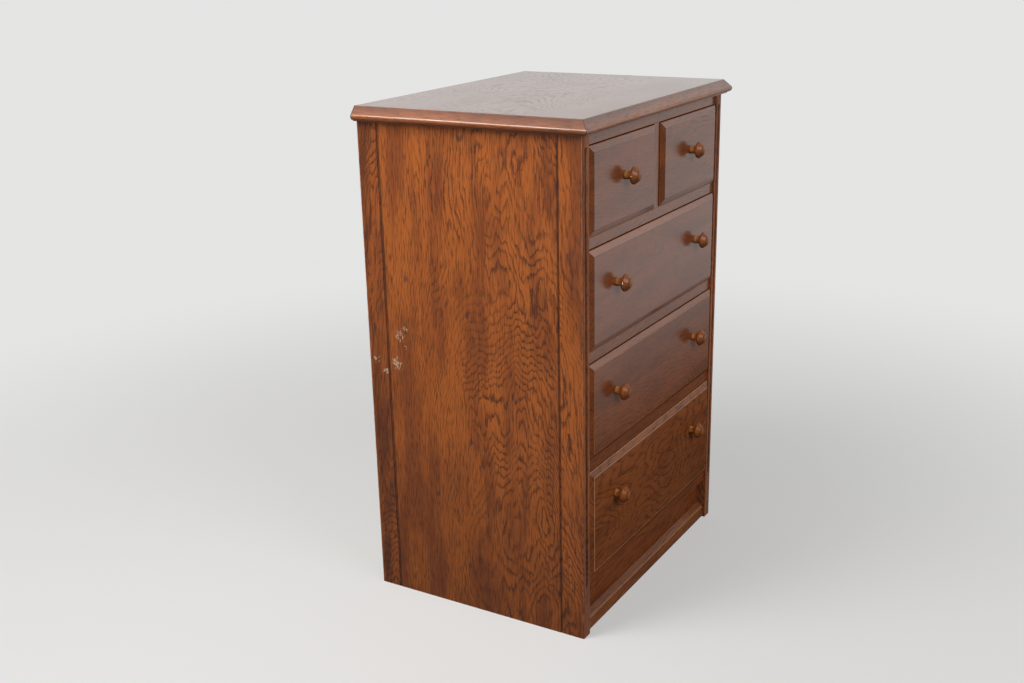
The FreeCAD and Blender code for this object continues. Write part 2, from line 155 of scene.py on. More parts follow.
def rounded(
    corners: Sequence[Corner], closed: bool = True, steps: int = 4, reach: float = 0.8 * MM
) -> Profile:
    """Rounds the corners of a section line.

    Each corner becomes an arc tangent to its two edges: the vector from the arc's centre to one tangent point
    turns evenly into the vector to the other. A point on each side of the arc marks where its wear ends.

    Args:
        corners: The corners in order. An open line keeps its first and last corner as they are.
        closed: Whether the last corner joins the first.
        steps: How many chords each arc has.
        reach: How far wear, soiling and painted shade spread from an arc along its edges, up to a limit for
            short edges.

    Returns:
        The rounded line.
    """
    sharp = np.array([(corner.first, corner.second) for corner in corners])
    radius = np.array([corner.radius for corner in corners])
    back = np.roll(sharp, 1, axis=0) - sharp
    ahead = np.roll(sharp, -1, axis=0) - sharp
    back_run = np.linalg.norm(back, axis=1)
    ahead_run = np.linalg.norm(ahead, axis=1)
    back /= back_run[:, None]
    ahead /= ahead_run[:, None]
    half_angle = np.arccos(np.clip((back * ahead).sum(axis=1), -1.0, 1.0)) / 2
    cut = radius / np.tan(half_angle)
    middle = back + ahead
    middle /= np.linalg.norm(middle, axis=1)[:, None]
    centre = sharp + middle * (radius / np.sin(half_angle))[:, None]
    turn = (np.pi - 2 * half_angle)[:, None]
    share = np.linspace(0.0, 1.0, steps + 1)[None, :]
    from_back = (np.sin((1 - share) * turn) / np.sin(turn))[..., None]
    from_ahead = (np.sin(share * turn) / np.sin(turn))[..., None]
    back_spoke = (sharp + back * cut[:, None] - centre)[:, None, :]
    ahead_spoke = (sharp + ahead * cut[:, None] - centre)[:, None, :]
    arc = centre[:, None, :] + from_back * back_spoke + from_ahead * ahead_spoke
    before = sharp + back * (cut + np.minimum(reach, SPREAD_LIMIT * back_run))[:, None]
    after = sharp + ahead * (cut + np.minimum(reach, SPREAD_LIMIT * ahead_run))[:, None]
    points = np.concatenate((before[:, None, :], arc, after[:, None, :]), axis=1)
    spread = np.concatenate(([0.0], np.ones(steps + 1), [0.0]))[None, :]
    wear = np.array([corner.wear for corner in corners])[:, None] * spread
    grime_and_shade = np.array([corner.grime_and_shade for corner in corners])[:, None] * spread
    if closed:
        return Profile(points.reshape(-1, 2), wear.reshape(-1), grime_and_shade.reshape(-1))
    start, end = corners[0], corners[-1]
    points = np.concatenate((sharp[:1], points[1:-1].reshape(-1, 2), sharp[-1:]))
    wear = np.concatenate(([start.wear], wear[1:-1].reshape(-1), [end.wear]))
    grime_and_shade = np.concatenate(([start.grime_and_shade], grime_and_shade[1:-1].reshape(-1), [end.grime_and_shade]))
    return Profile(points, wear, grime_and_shade)


@dataclass(frozen=True)
class Surface:
    """Points and faces of a piece, how worn the wood is at each point, and how dark soiling and painted shade
    make it.
    """

    points: Array
    faces: list[list[int]]
    wear: Array
    grime_and_shade: Array

    @staticmethod
    def plain(points: Array, faces: list[list[int]]) -> "Surface":
        """A surface with neither wear nor grime."""
        return Surface(points, faces, np.zeros(len(points)), np.zeros(len(points)))

    @staticmethod
    def join(parts: Sequence["Surface"]) -> "Surface":
        """Lays several surfaces into one.

        Args:
            parts: The surfaces.

        Returns:
            One surface with all their points and faces.
        """
        offsets = np.cumsum([0] + [len(part.points) for part in parts])
        faces = [
            [index + int(offset) for index in face]
            for part, offset in zip(parts, offsets)
            for face in part.faces
        ]
        rows = zip(*((part.points, part.wear, part.grime_and_shade) for part in parts))
        points, wear, grime_and_shade = (np.concatenate(row) for row in rows)
        return Surface(points, faces, wear, grime_and_shade)

    def mirrored(self) -> "Surface":
        """The same surface for the other side of the chest, with its faces turned back outwards."""
        faces = [face[::-1] for face in self.faces]
        return Surface(self.points * np.array((-1.0, 1.0, 1.0)), faces, self.wear, self.grime_and_shade)


def grid_faces(rows: int, columns: int, closed: bool) -> list[list[int]]:
    """Quads of a grid of points, where point (i, j) has the index i times the columns plus j.

    Args:
        rows: How many rows of points there are.
        columns: How many points a row has.
        closed: Whether each row's last point joins its first.

    Returns:
        The quads, which face outwards where a row runs anticlockwise and the rows follow the axis.
    """
    row = np.arange(rows - 1)[:, None] * columns
    column = np.arange(columns if closed else columns - 1)[None, :]
    following = (column + 1) % columns
    quads = (row + column, row + following, row + columns + following, row + columns + column)
    return np.stack(quads, axis=-1).reshape(-1, 4).tolist()


def sweep(
    profile: Profile,
    axis: Axis,
    start: float | Array,
    finish: float | Array,
    shares: Array,
    closed: bool = True,
    end_grime: float = 0.0,
) -> Surface:
    """Carries a section along an axis.

    Point (i, j) lies at share i of the way from the start to the finish of section point j, which may differ
    from point to point, as at a mitre, and at section point j in the two axes that follow.

    Args:
        profile: The section, anticlockwise as seen against the axis.
        axis: The axis that it is carried along.
        start: Where each section point starts on the axis.
        finish: Where each section point ends on the axis.
        shares: The shares of the way at which the section is laid, from 0 to 1.
        closed: Whether the section is closed and its ends are capped.
        end_grime: How dark soiling makes the joint at both ends.

    Returns:
        The swept surface.
    """
    count = len(profile.points)
    first, second = axis.others()
    points = np.empty((len(shares), count, 3))
    points[..., axis.value] = (1 - shares)[:, None] * np.broadcast_to(start, count)
    points[..., axis.value] += shares[:, None] * np.broadcast_to(finish, count)
    points[..., first] = profile.points[:, 0]
    points[..., second] = profile.points[:, 1]
    faces = grid_faces(len(shares), count, closed)
    if closed:
        ring = np.arange(count)
        faces += [ring[::-1].tolist(), (ring + (len(shares) - 1) * count).tolist()]
    at_end = np.where((shares == 0.0) | (shares == 1.0), end_grime, 0.0)
    wear = np.broadcast_to(profile.wear, (len(shares), count)).reshape(-1)
    grime_and_shade = np.maximum(profile.grime_and_shade[None, :], at_end[:, None]).reshape(-1)
    return Surface(points.reshape(-1, 3), faces, wear, grime_and_shade)


def frame_loops(low: Array, high: Array, plane: tuple[Axis, Axis], level: Axis, profile: Profile) -> Surface:
    """Carries a section round a rectangle, with mitred corners, and closes it at both ends.

    Row i is the rectangle drawn in by the section's first value i, at the level of its second value i.

    Args:
        low: The rectangle's lower corner in the plane.
        high: The rectangle's higher corner in the plane.
        plane: The two axes of the plane.
        level: The axis across the plane.
        profile: The section, from the back of the piece to the flat of its face.

    Returns:
        The closed slab.
    """
    inset, height = profile.points[:, 0], profile.points[:, 1]
    rows = len(inset)
    (left, bottom), (right, top) = low[:, None] + inset, high[:, None] - inset
    points = np.empty((rows, 4, 3))
    points[..., plane[0].value] = np.stack((left, right, right, left), axis=1)
    points[..., plane[1].value] = np.stack((bottom, bottom, top, top), axis=1)
    points[..., level.value] = height[:, None]
    last = 4 * (rows - 1)
    faces = grid_faces(rows, 4, True) + [[3, 2, 1, 0], [last, last + 1, last + 2, last + 3]]
    wear = np.repeat(profile.wear, 4)
    grime_and_shade = np.repeat(profile.grime_and_shade, 4)
    return Surface(points.reshape(-1, 3), faces, wear, grime_and_shade)


def lathe(profile: Array, centre: Place, segments: int) -> Surface:
    """Turns a section about a line that runs to the front, from the piece's foot to its face.

    Point (i, j) lies at the radius of section point i, turned by the share j of a full turn.

    Args:
        profile: Radius and distance to the front of each section point.
        centre: The middle of the foot.
        segments: How many points each ring has.

    Returns:
        The turned surface, closed at its foot and its face.
    """
    turn = np.linspace(0.0, 2 * np.pi, segments, endpoint=False)[None, :]
    radius, out = profile[:, :1], profile[:, 1:]
    x = centre[0] + radius * np.cos(turn)
    y = np.broadcast_to(centre[1] - out, x.shape)
    z = centre[2] + radius * np.sin(turn)
    ring = np.arange(segments)
    last = ring + (len(profile) - 1) * segments
    faces = grid_faces(len(profile), segments, True) + [ring[::-1].tolist(), last.tolist()]
    return Surface.plain(np.stack((x, y, z), axis=-1).reshape(-1, 3), faces)


def wedges(x_span: Span, y_span: Span, front: Array, back: Array) -> Surface:
    """Blocks that lie one above another, each with its own height at its front and at its back.

    Args:
        x_span: Where the blocks start and end on X.
        y_span: Where their front and their back lie on Y.
        front: Lower and upper level of each block at its front.
        back: Lower and upper level of each block at its back.

    Returns:
        All the blocks as one surface.
    """
    count = len(front)
    points = np.empty((count, 2, 2, 2, 3))
    points[..., 0] = np.array(x_span)[None, :, None, None]
    points[..., 1] = np.array(y_span)[None, None, :, None]
    points[..., 2] = np.stack((front, back), axis=1)[:, None, :, :]
    sides = np.array([
        [0, 4, 5, 1], [2, 3, 7, 6], [0, 2, 6, 4], [1, 5, 7, 3], [0, 1, 3, 2], [4, 6, 7, 5]])
    faces = (np.arange(count)[:, None, None] * 8 + sides[None]).reshape(-1, 4).tolist()
    return Surface.plain(points.reshape(-1, 3), faces)


# Shader building


@dataclass(frozen=True)
class Clouds:
    """Cloudy noise: how many clouds there are per metre along each axis, their detail and their roughness."""

    per_metre: Place
    detail: float = 2.0
    roughness: float = 0.5


@dataclass(frozen=True)
class Step:
    """A smooth step from start to end while a value goes from low to high."""

    low: float
    high: float
    start: float = 0.0
    end: float = 1.0


class Graph:
    """Adds nodes to one shader tree and joins them."""

    def __init__(self, tree: bpy.types.NodeTree) -> None:
        """Keeps the tree that the nodes go into."""
        self.tree = tree

    def feed(self, socket: Socket, value: object) -> None:
        """Joins a socket to another, or sets its value.

        Args:
            socket: The input.
            value: An output to join to it, a number, a vector or a colour.
        """
        if isinstance(value, bpy.types.NodeSocket):
            self.tree.links.new(value, socket)
        elif socket.type == "RGBA" and len(value) == 3:
            socket.default_value = (*value, 1.0)
        else:
            socket.default_value = value

    def fill(self, node: bpy.types.Node, values: dict) -> None:
        """Feeds several inputs of a node, by name or index."""
        for name, value in values.items():
            self.feed(node.inputs[name], value)

    def add(self, kind: str, values: dict | None = None, **settings: object) -> bpy.types.Node:
        """Adds a node.

        Args:
            kind: The node's type name.
            values: What each input is fed with, by name or index.
            settings: The node's own properties.

        Returns:
            The node.
        """
        node = self.tree.nodes.new(kind)
        for name, setting in settings.items():
            setattr(node, name, setting)
        self.fill(node, values or {})
        return node

    def group(self, effect: "Effect", values: dict) -> bpy.types.NodeOutputs:
        """The outputs of a shared effect that is placed with its own values."""
        return self.add("ShaderNodeGroup", values, node_tree=effect.tree()).outputs

    def attribute(self, name: str, output: str = "Fac") -> Socket:
        """What the mesh holds under a name for each of its points."""
        return self.add("ShaderNodeAttribute", attribute_name=name).outputs[output]

    def place(self) -> Socket:
        """Where a point lies on the chest."""
        return self.add("ShaderNodeTexCoord").outputs["Object"]

    def facing(self) -> bpy.types.NodeOutputs:
        """The X, Y and Z of the way that a point faces."""
        return self.parts(self.add("ShaderNodeTexCoord").outputs["Normal"])

    def parts(self, vector: Socket) -> bpy.types.NodeOutputs:
        """A vector's X, Y and Z."""
        return self.add("ShaderNodeSeparateXYZ", {0: vector}).outputs

    def math(self, operation: str, *values: object, clamp: bool = False) -> Socket:
        """The result of a sum on numbers."""
        node = self.add("ShaderNodeMath", dict(enumerate(values)), operation=operation, use_clamp=clamp)
        return node.outputs[0]

    def times(self, first: object, second: object) -> Socket:
        """One number times another."""
        return self.math("MULTIPLY", first, second)

    def plus_share(self, base: object, value: object, share: object) -> Socket:
        """A number plus a share of another."""
        return self.math("MULTIPLY_ADD", value, share, base)

    def vector(self, operation: str, *values: object) -> Socket:
        """The vector result of a sum on vectors."""
        node = self.add("ShaderNodeVectorMath", dict(enumerate(values)), operation=operation)
        return node.outputs["Vector"]

    def distance(self, first: object, second: object) -> Socket:
        """How far two places are from each other."""
        node = self.add("ShaderNodeVectorMath", {0: first, 1: second}, operation="DISTANCE")
        return node.outputs["Value"]

    def noise(self, place: Socket, clouds: Clouds) -> Socket:
        """Cloudy noise from 0 to 1.

        Args:
            place: Where the noise is read.
            clouds: The kind of noise.

        Returns:
            The noise.
        """
        stretched = self.vector("MULTIPLY", place, clouds.per_metre)
        values = {"Vector": stretched, "Scale": 1.0, "Detail": clouds.detail, "Roughness": clouds.roughness}
        return self.add("ShaderNodeTexNoise", values).outputs["Fac"]

    def swing(self, place: Socket, clouds: Clouds) -> Socket:
        """Cloudy noise that swings to both sides of zero."""
        return self.math("SUBTRACT", self.noise(place, clouds), 0.5)

    def ease(self, value: object, step: Step) -> Socket:
        """What a smooth step makes of a value."""
        values = {0: value, 1: step.low, 2: step.high, 3: step.start, 4: step.end}
        return self.add("ShaderNodeMapRange", values, interpolation_type="SMOOTHSTEP").outputs[0]

    def mix(self, share: object, first: object, second: object, blend: str = "MIX") -> Socket:
        """A colour between two others."""
        values = {0: share, 6: first, 7: second}
        return self.add("ShaderNodeMix", values, data_type="RGBA", blend_type=blend).outputs[2]

    def lay(self, mask: Socket, share: float, under: object, over: Colour) -> Socket:
        """A colour with another laid over it, where a mask times a share says."""
        return self.mix(self.times(mask, share), under, over)

    def shaded(self, colour: Socket, shade: Socket) -> Socket:
        """A colour made darker or lighter by a number."""
        grey = self.add("ShaderNodeCombineColor", {0: shade, 1: shade, 2: shade}).outputs[0]
        return self.mix(1.0, colour, grey, "MULTIPLY")


class Effect:
    """A shader effect that several finishes share, as one node group."""

    name = ""
    inputs: dict[str, str] = {}
    outputs: tuple[str, ...] = ()

    def tree(self) -> bpy.types.NodeTree:
        """The effect's node group, built the first time that it is asked for.

        Returns:
            The group.
        """
        found = bpy.data.node_groups.get(self.name)
        if found:
            return found
        group = bpy.data.node_groups.new(self.name, "ShaderNodeTree")
        for name, kind in self.inputs.items():
            group.interface.new_socket(name=name, in_out="INPUT", socket_type=kind)
        for name in self.outputs:
            group.interface.new_socket(name=name, in_out="OUTPUT", socket_type=NUMBER)
        graph = Graph(group)
        given = graph.add("NodeGroupInput").outputs
        graph.add("NodeGroupOutput", self.build(graph, given))
        return group

    def build(self, graph: Graph, given: bpy.types.NodeOutputs) -> dict[str, Socket]:
        """Lays the effect's nodes; each effect has its own."""
        raise NotImplementedError


class OakFigure(Effect):
    """Figure of sawn oak, from a place in the log: along the grain, into the board, then across it.

    Rings are the whole steps of the distance from the log's heart over the ring width, with a taper along
    the grain. The heart bows in and out of the board, which opens the rings into arches where the face lies
    flat to them. There noise bends them into nested waves, and elsewhere they are faint and straight.
    """

    name = "oak_figure"
    inputs = {"Place": VECTOR, "Ring Width": NUMBER, "Bow": NUMBER, "Wave": NUMBER}
    outputs = ("Ring", "Pore", "Tone", "Blotch", "Height")

    other_place: Place = (3.1, 0.7, 1.9)
    taper: float = 0.08
    bow_clouds = Clouds((2.2, 3.0, 3.0), 1.0)
    mood_clouds = Clouds((3.2, 10.0, 10.0), 1.0)
    mood_share: float = 1.4
    lively_step = Step(0.50, 0.95)
    wave_clouds = Clouds((4.4, 20.0, 20.0), 3.0)
    wave_step = Step(0.0, 0.4, 0.3, 1.0)
    broad_clouds = Clouds((5.0, 16.0, 16.0), 1.5)
    broad_share: float = 0.06
    fray_clouds = Clouds((130.0, 400.0, 400.0), 1.0)
    fray: float = 2.2 * MM
    early_fall = Step(0.0, 0.42, 1.0, 0.0)
    early_rise = Step(0.92, 1.0)
    streak_clouds = Clouds((16.0, 380.0, 380.0), 2.0, 0.6)
    streak_step = Step(0.34, 0.58, 0.45, 1.0)
    clear_clouds = Clouds((8.0, 26.0, 26.0))
    clear_step = Step(0.36, 0.58, 0.45, 1.0)
    calm_step = Step(0.1, 1.0, 0.34, 1.0)
    pore_clouds = Clouds((40.0, 560.0, 560.0), 1.0)
    pore_in_ring: float = 0.07
    pore_step = Step(0.52, 0.68)
    tone_clouds = Clouds((4.5, 28.0, 28.0))
    tone_share: float = 0.70
    fibre_clouds = Clouds((18.0, 260.0, 260.0), 2.0, 0.6)
    fibre_share: float = 0.30
    lively_tone: float = 0.05
    blotch_clouds = Clouds((18.0, 50.0, 50.0), 2.0, 0.55)
    blotch_step = Step(0.66, 0.75)
    pore_depth: float = 0.7
    ring_depth: float = 0.3

    def build(self, graph: Graph, given: bpy.types.NodeOutputs) -> dict[str, Socket]:
        """Lays the nodes of the rings, pores, tone and blotches.

        Args:
            graph: The group's graph.
            given: The group's inputs.

        Returns:
            What feeds each output.
        """
        place = given["Place"]
        elsewhere = graph.vector("ADD", place, self.other_place)
        parts = graph.parts(place)
        depth = graph.plus_share(parts["Y"], graph.swing(place, self.bow_clouds), given["Bow"])
        depth_square = graph.times(depth, depth)
        square = graph.plus_share(depth_square, parts["Z"], parts["Z"])
        radius = graph.plus_share(graph.math("SQRT", square), parts["X"], self.taper)
        flat = graph.math("DIVIDE", depth_square, square)
        mood = graph.swing(elsewhere, self.mood_clouds)
        lively = graph.ease(graph.plus_share(flat, mood, self.mood_share), self.lively_step)
        waves = graph.times(graph.swing(place, self.wave_clouds), given["Wave"])
        bend = graph.times(waves, graph.ease(lively, self.wave_step))
        broad = graph.times(graph.swing(place, self.broad_clouds), given["Bow"])
        bend = graph.plus_share(bend, broad, self.broad_share)
        bend = graph.plus_share(bend, graph.swing(place, self.fray_clouds), self.fray)
        ring_count = graph.math("DIVIDE", graph.math("ADD", radius, bend), given["Ring Width"])
        phase = graph.math("FRACT", ring_count)
        early = graph.math("MAXIMUM", graph.ease(phase, self.early_fall), graph.ease(phase, self.early_rise))
        streak = graph.ease(graph.noise(place, self.streak_clouds), self.streak_step)
        clear = graph.ease(graph.noise(elsewhere, self.clear_clouds), self.clear_step)
        clear = graph.times(clear, graph.ease(lively, self.calm_step))
        ring = graph.times(graph.times(early, streak), clear)
        pore_noise = graph.noise(place, self.pore_clouds)
        pore = graph.ease(graph.plus_share(pore_noise, early, self.pore_in_ring), self.pore_step)
        tone = graph.times(graph.noise(place, self.tone_clouds), self.tone_share)
        tone = graph.plus_share(tone, graph.noise(place, self.fibre_clouds), self.fibre_share)
        tone = graph.plus_share(tone, lively, self.lively_tone)
        blotch = graph.ease(graph.noise(elsewhere, self.blotch_clouds), self.blotch_step)
        height = graph.plus_share(graph.times(early, -self.ring_depth), pore, -self.pore_depth)
        return {"Ring": ring, "Pore": pore, "Tone": tone, "Blotch": blotch, "Height": height}


class EdgeWear(Effect):
    """Where lacquer and stain have rubbed off an arris, broken up by noise."""

    name = "edge_wear"
    inputs = {"Wear": NUMBER, "Place": VECTOR, "Amount": NUMBER}
    outputs = ("Mask",)

    clouds = Clouds((42.0, 42.0, 42.0), 4.0, 0.7)
    bare_step = Step(0.26, 0.60)

    def build(self, graph: Graph, given: bpy.types.NodeOutputs) -> dict[str, Socket]:
        """Lays the nodes: wear times the amount, times noise, cut off by a smooth step.

        Args:
            graph: The group's graph.
            given: The group's inputs.

        Returns:
            What feeds each output.
        """
        worn = graph.times(given["Wear"], given["Amount"])
        broken = graph.times(worn, graph.noise(given["Place"], self.clouds))
        return {"Mask": graph.ease(broken, self.bare_step)}


class SeamGrimeAndShade(Effect):
    """Darkening in seams, creases and corners: partly dark wax and soiling, partly painted shade."""

    name = "seam_grime_and_shade"
    inputs = {"Grime And Shade": NUMBER, "Place": VECTOR}
    outputs = ("Mask",)

    clouds = Clouds((30.0, 30.0, 30.0), 3.0)
    uneven_step = Step(0.25, 0.6, 0.88, 1.0)

    def build(self, graph: Graph, given: bpy.types.NodeOutputs) -> dict[str, Socket]:
        """Lays the nodes: the darkening, made uneven by noise."""
        uneven = graph.ease(graph.noise(given["Place"], self.clouds), self.uneven_step)
        return {"Mask": graph.math("MULTIPLY", given["Grime And Shade"], uneven, clamp=True)}


class LacquerHaze(Effect):
    """Slight smears and rubbed patches that change the gloss."""

    name = "lacquer_haze"
    inputs = {"Place": VECTOR, "Roughness": NUMBER}
    outputs = ("Roughness",)

    smear_clouds = Clouds((7.0, 7.0, 7.0), 3.0)
    smear_step = Step(0.3, 0.7, -0.05, 0.06)
    fine_clouds = Clouds((160.0, 160.0, 160.0))
    fine_step = Step(0.3, 0.7, -0.02, 0.03)

    def build(self, graph: Graph, given: bpy.types.NodeOutputs) -> dict[str, Socket]:
        """Lays the nodes: the plain roughness, raised and lowered by broad and fine noise.

        Args:
            graph: The group's graph.
            given: The group's inputs.

        Returns:
            What feeds each output.
        """
        smears = graph.ease(graph.noise(given["Place"], self.smear_clouds), self.smear_step)
        fine = graph.ease(graph.noise(given["Place"], self.fine_clouds), self.fine_step)
        smeared = graph.math("ADD", given["Roughness"], smears)
        return {"Roughness": graph.math("ADD", smeared, fine)}


class Scuff(Effect):
    """Small pale flecks round one place, where something has rubbed the wood."""

    name = "scuff"
    inputs = {"Place": VECTOR, "Centre": VECTOR, "Reach": NUMBER}
    outputs = ("Mask",)

    near_step = Step(0.2, 1.0, 0.27, 0.0)
    fleck_clouds = Clouds((260.0, 260.0, 150.0), 3.0, 0.7)
    fleck_step = Step(0.73, 0.86)

    def build(self, graph: Graph, given: bpy.types.NodeOutputs) -> dict[str, Socket]:
        """Lays the nodes: noise that only passes a smooth step near the centre.

        Args:
            graph: The group's graph.
            given: The group's inputs.

        Returns:
            What feeds each output.
        """
        away = graph.math("DIVIDE", graph.distance(given["Place"], given["Centre"]), given["Reach"])
        near = graph.ease(away, self.near_step)
        flecks = graph.noise(given["Place"], self.fleck_clouds)
        return {"Mask": graph.ease(graph.math("ADD", flecks, near), self.fleck_step)}


# Finishes


class Finish:
    """A finish that a piece can be given: a node material, and the name of the slot that it stands for, which
    nothing here uses.
    """

    name: str
    slot: str
    roughness: float

    def material(self) -> bpy.types.Material:
        """The finish's material, built the first time that it is asked for.

        Returns:
            The material.
        """
        found = bpy.data.materials.get(self.name)
        if found:
            return found
        material = bpy.data.materials.new(self.name)
        material.use_nodes = True
        material.node_tree.nodes.clear()
        graph = Graph(material.node_tree)
        shader = graph.add("ShaderNodeBsdfPrincipled")
        graph.add("ShaderNodeOutputMaterial", {"Surface": shader.outputs[0]})
        graph.fill(shader, self.looks(graph))
        return material

    def looks(self, graph: Graph) -> dict[str, object]:
        """What the shader's inputs are fed with; each finish has its own."""
        raise NotImplementedError

    def haze(self, graph: Graph, place: Socket) -> Socket:
        """The roughness, with its smears."""
        return graph.group(LacquerHaze(), {"Place": place, "Roughness": self.roughness})[0]


class WoodFinish(Finish):
    """A finish that lets the figure of the wood show."""

    ring_width: float
    bow: float
    wave: float
    bump: float
    bump_distance: float

    def figure(self, graph: Graph, log_place: Socket) -> bpy.types.NodeOutputs:
        """The figure at a place in the log."""
        values = {"Place": log_place, "Ring Width": self.ring_width, "Bow": self.bow, "Wave": self.wave}
        return graph.group(OakFigure(), values)

    def relief(self, graph: Graph, figure: bpy.types.NodeOutputs) -> Socket:
        """The normal, with pores and soft rings sunk a little."""
        values = {"Height": figure["Height"], "Strength": self.bump, "Distance": self.bump_distance}
        return graph.add("ShaderNodeBump", values).outputs[0]

    @staticmethod
    def grime_and_shade_mask(graph: Graph, place: Socket) -> Socket:
        """How dark the seams, creases and corners are made: partly by soiling, partly by painted shade."""
        return graph.group(SeamGrimeAndShade(), {"Grime And Shade": graph.attribute("grime_and_shade"), "Place": place})[0]


@dataclass(frozen=True)
class StainedOak(WoodFinish):
    """Oak stained reddish brown under a semi-gloss lacquer, rubbed pale along its arrises."""

    name: str
    pale: Colour = (0.43, 0.118, 0.022)
    brown: Colour = (0.25, 0.066, 0.016)
    dark: Colour = (0.050, 0.015, 0.008)
    blotch: Colour = (0.048, 0.030, 0.026)
    worn: Colour = (0.52, 0.25, 0.11)
    grime_and_shade: Colour = (0.010, 0.005, 0.004)
    fleck: Colour = (0.78, 0.62, 0.44)
    ring_width: float = 5.0 * MM
    bow: float = 190.0 * MM
    wave: float = 48.0 * MM
    tone_step: Step = Step(0.38, 0.62)
    ring_share: float = 0.86
    pore_share: float = 0.62
    blotch_share: float = 0.75
    worn_share: float = 0.75
    fleck_share: float = 0.6
    grime_and_shade_share: float = 0.97
    wear_amount: float = 1.0
    roughness: float = 0.45
    pore_haze: float = 0.10
    gloss: float = 0.10
    coat: float = 0.1
    low_coat: float = 1.0
    low_coat_span: Span = (0.28, 0.74)
    coat_roughness: float = 0.20
    coat_ior: float = 1.5
    under_coat: float = 1.0
    under_coat_span: Span = (-0.3, 0.15)
    front_coat: float = 0.88
    front_step: Step = Step(0.93, 0.98)
    bevel_coat_step: Step = Step(-0.4, -0.2, 0.55, 0.12)
    upward_step: Step = Step(0.2, 0.4)
    upward_coat_step: Step = Step(0.2, 0.75, 0.35, 1.0)
    # Painted shade: the colour darkens towards the floor, down to this share at the foot.
    painted_foot_shade: float = 1.0
    painted_shade_height: float = 0.5
    ring_dull: float = 0.0
    bump: float = 0.16
    bump_distance: float = 0.35 * MM
    scuffs: tuple[tuple[Place, float], ...] = ()
    slot: str = "stained_oak"

    def looks(self, graph: Graph) -> dict[str, object]:
        """Lays the nodes: figure, wear, flecks, soiling with painted shade in creases, and painted shade
        towards the floor make the colour, and wear dulls the coat.

        Args:
            graph: The material's graph.

        Returns:
            What each of the shader's inputs is fed with.
        """
        place = graph.place()
        figure = self.figure(graph, graph.attribute("log_place", "Vector"))
        wear = {"Wear": graph.attribute("wear"), "Place": place, "Amount": self.wear_amount}
        rubbed = graph.group(EdgeWear(), wear)[0]
        colour = graph.mix(graph.ease(figure["Tone"], self.tone_step), self.brown, self.pale)
        colour = graph.lay(figure["Ring"], self.ring_share, colour, self.dark)
        colour = graph.lay(figure["Blotch"], self.blotch_share, colour, self.blotch)
        colour = graph.lay(figure["Pore"], self.pore_share, colour, self.dark)
        colour = graph.lay(rubbed, self.worn_share, colour, self.worn)
        for centre, reach in self.scuffs:
            flecks = graph.group(Scuff(), {"Place": place, "Centre": centre, "Reach": reach})[0]
            colour = graph.lay(flecks, self.fleck_share, colour, self.fleck)
        # Darkening in seams, creases and undersides: partly soiling, partly painted shade.
        colour = graph.lay(self.grime_and_shade_mask(graph, place), self.grime_and_shade_share, colour, self.grime_and_shade)
        # Painted shade, darker towards the floor.
        foot = Step(0.0, self.painted_shade_height, self.painted_foot_shade, 1.0)
        coat = graph.times(graph.math("SUBTRACT", 1.0, rubbed), self.coat)
        coat = graph.times(coat, graph.plus_share(1.0, figure["Ring"], -self.ring_dull))
        if min(self.low_coat, self.under_coat) < 1.0:
            coat = graph.times(coat, self._kept_coat(graph, place))
        return {
            "Base Color": graph.shaded(colour, graph.ease(graph.parts(place)["Z"], foot)),
            "Roughness": graph.plus_share(self.haze(graph, place), figure["Pore"], self.pore_haze),
            "Coat Weight": coat,
            "Coat Roughness": self.coat_roughness,
            "Coat IOR": self.coat_ior,
            "Specular IOR Level": self.gloss,
            "Normal": self.relief(graph, figure),
        }

    def _kept_coat(self, graph: Graph, place: Socket) -> Socket:
        """The share of the coat that is kept: less near the floor, on bevels and on faces that look down.

        Args:
            graph: The material's graph.
            place: The place on the chest.

        Returns:
            The share.
        """
        height = graph.parts(place)["Z"]
        facing = graph.facing()
        bevel = graph.ease(facing["Z"], self.bevel_coat_step)
        front = graph.ease(graph.math("ABSOLUTE", facing["Y"]), self.front_step)
        upright = graph.plus_share(bevel, graph.math("SUBTRACT", self.front_coat, bevel), front)
        kept = graph.times(graph.ease(height, Step(*self.low_coat_span, self.low_coat, 1.0)), upright)
        lit = graph.ease(height, self.upward_coat_step)
        upward = graph.times(graph.ease(facing["Z"], self.upward_step), lit)
        under = graph.ease(facing["Z"], Step(*self.under_coat_span, self.under_coat, 1.0))
        return graph.times(graph.math("MAXIMUM", kept, upward), under)


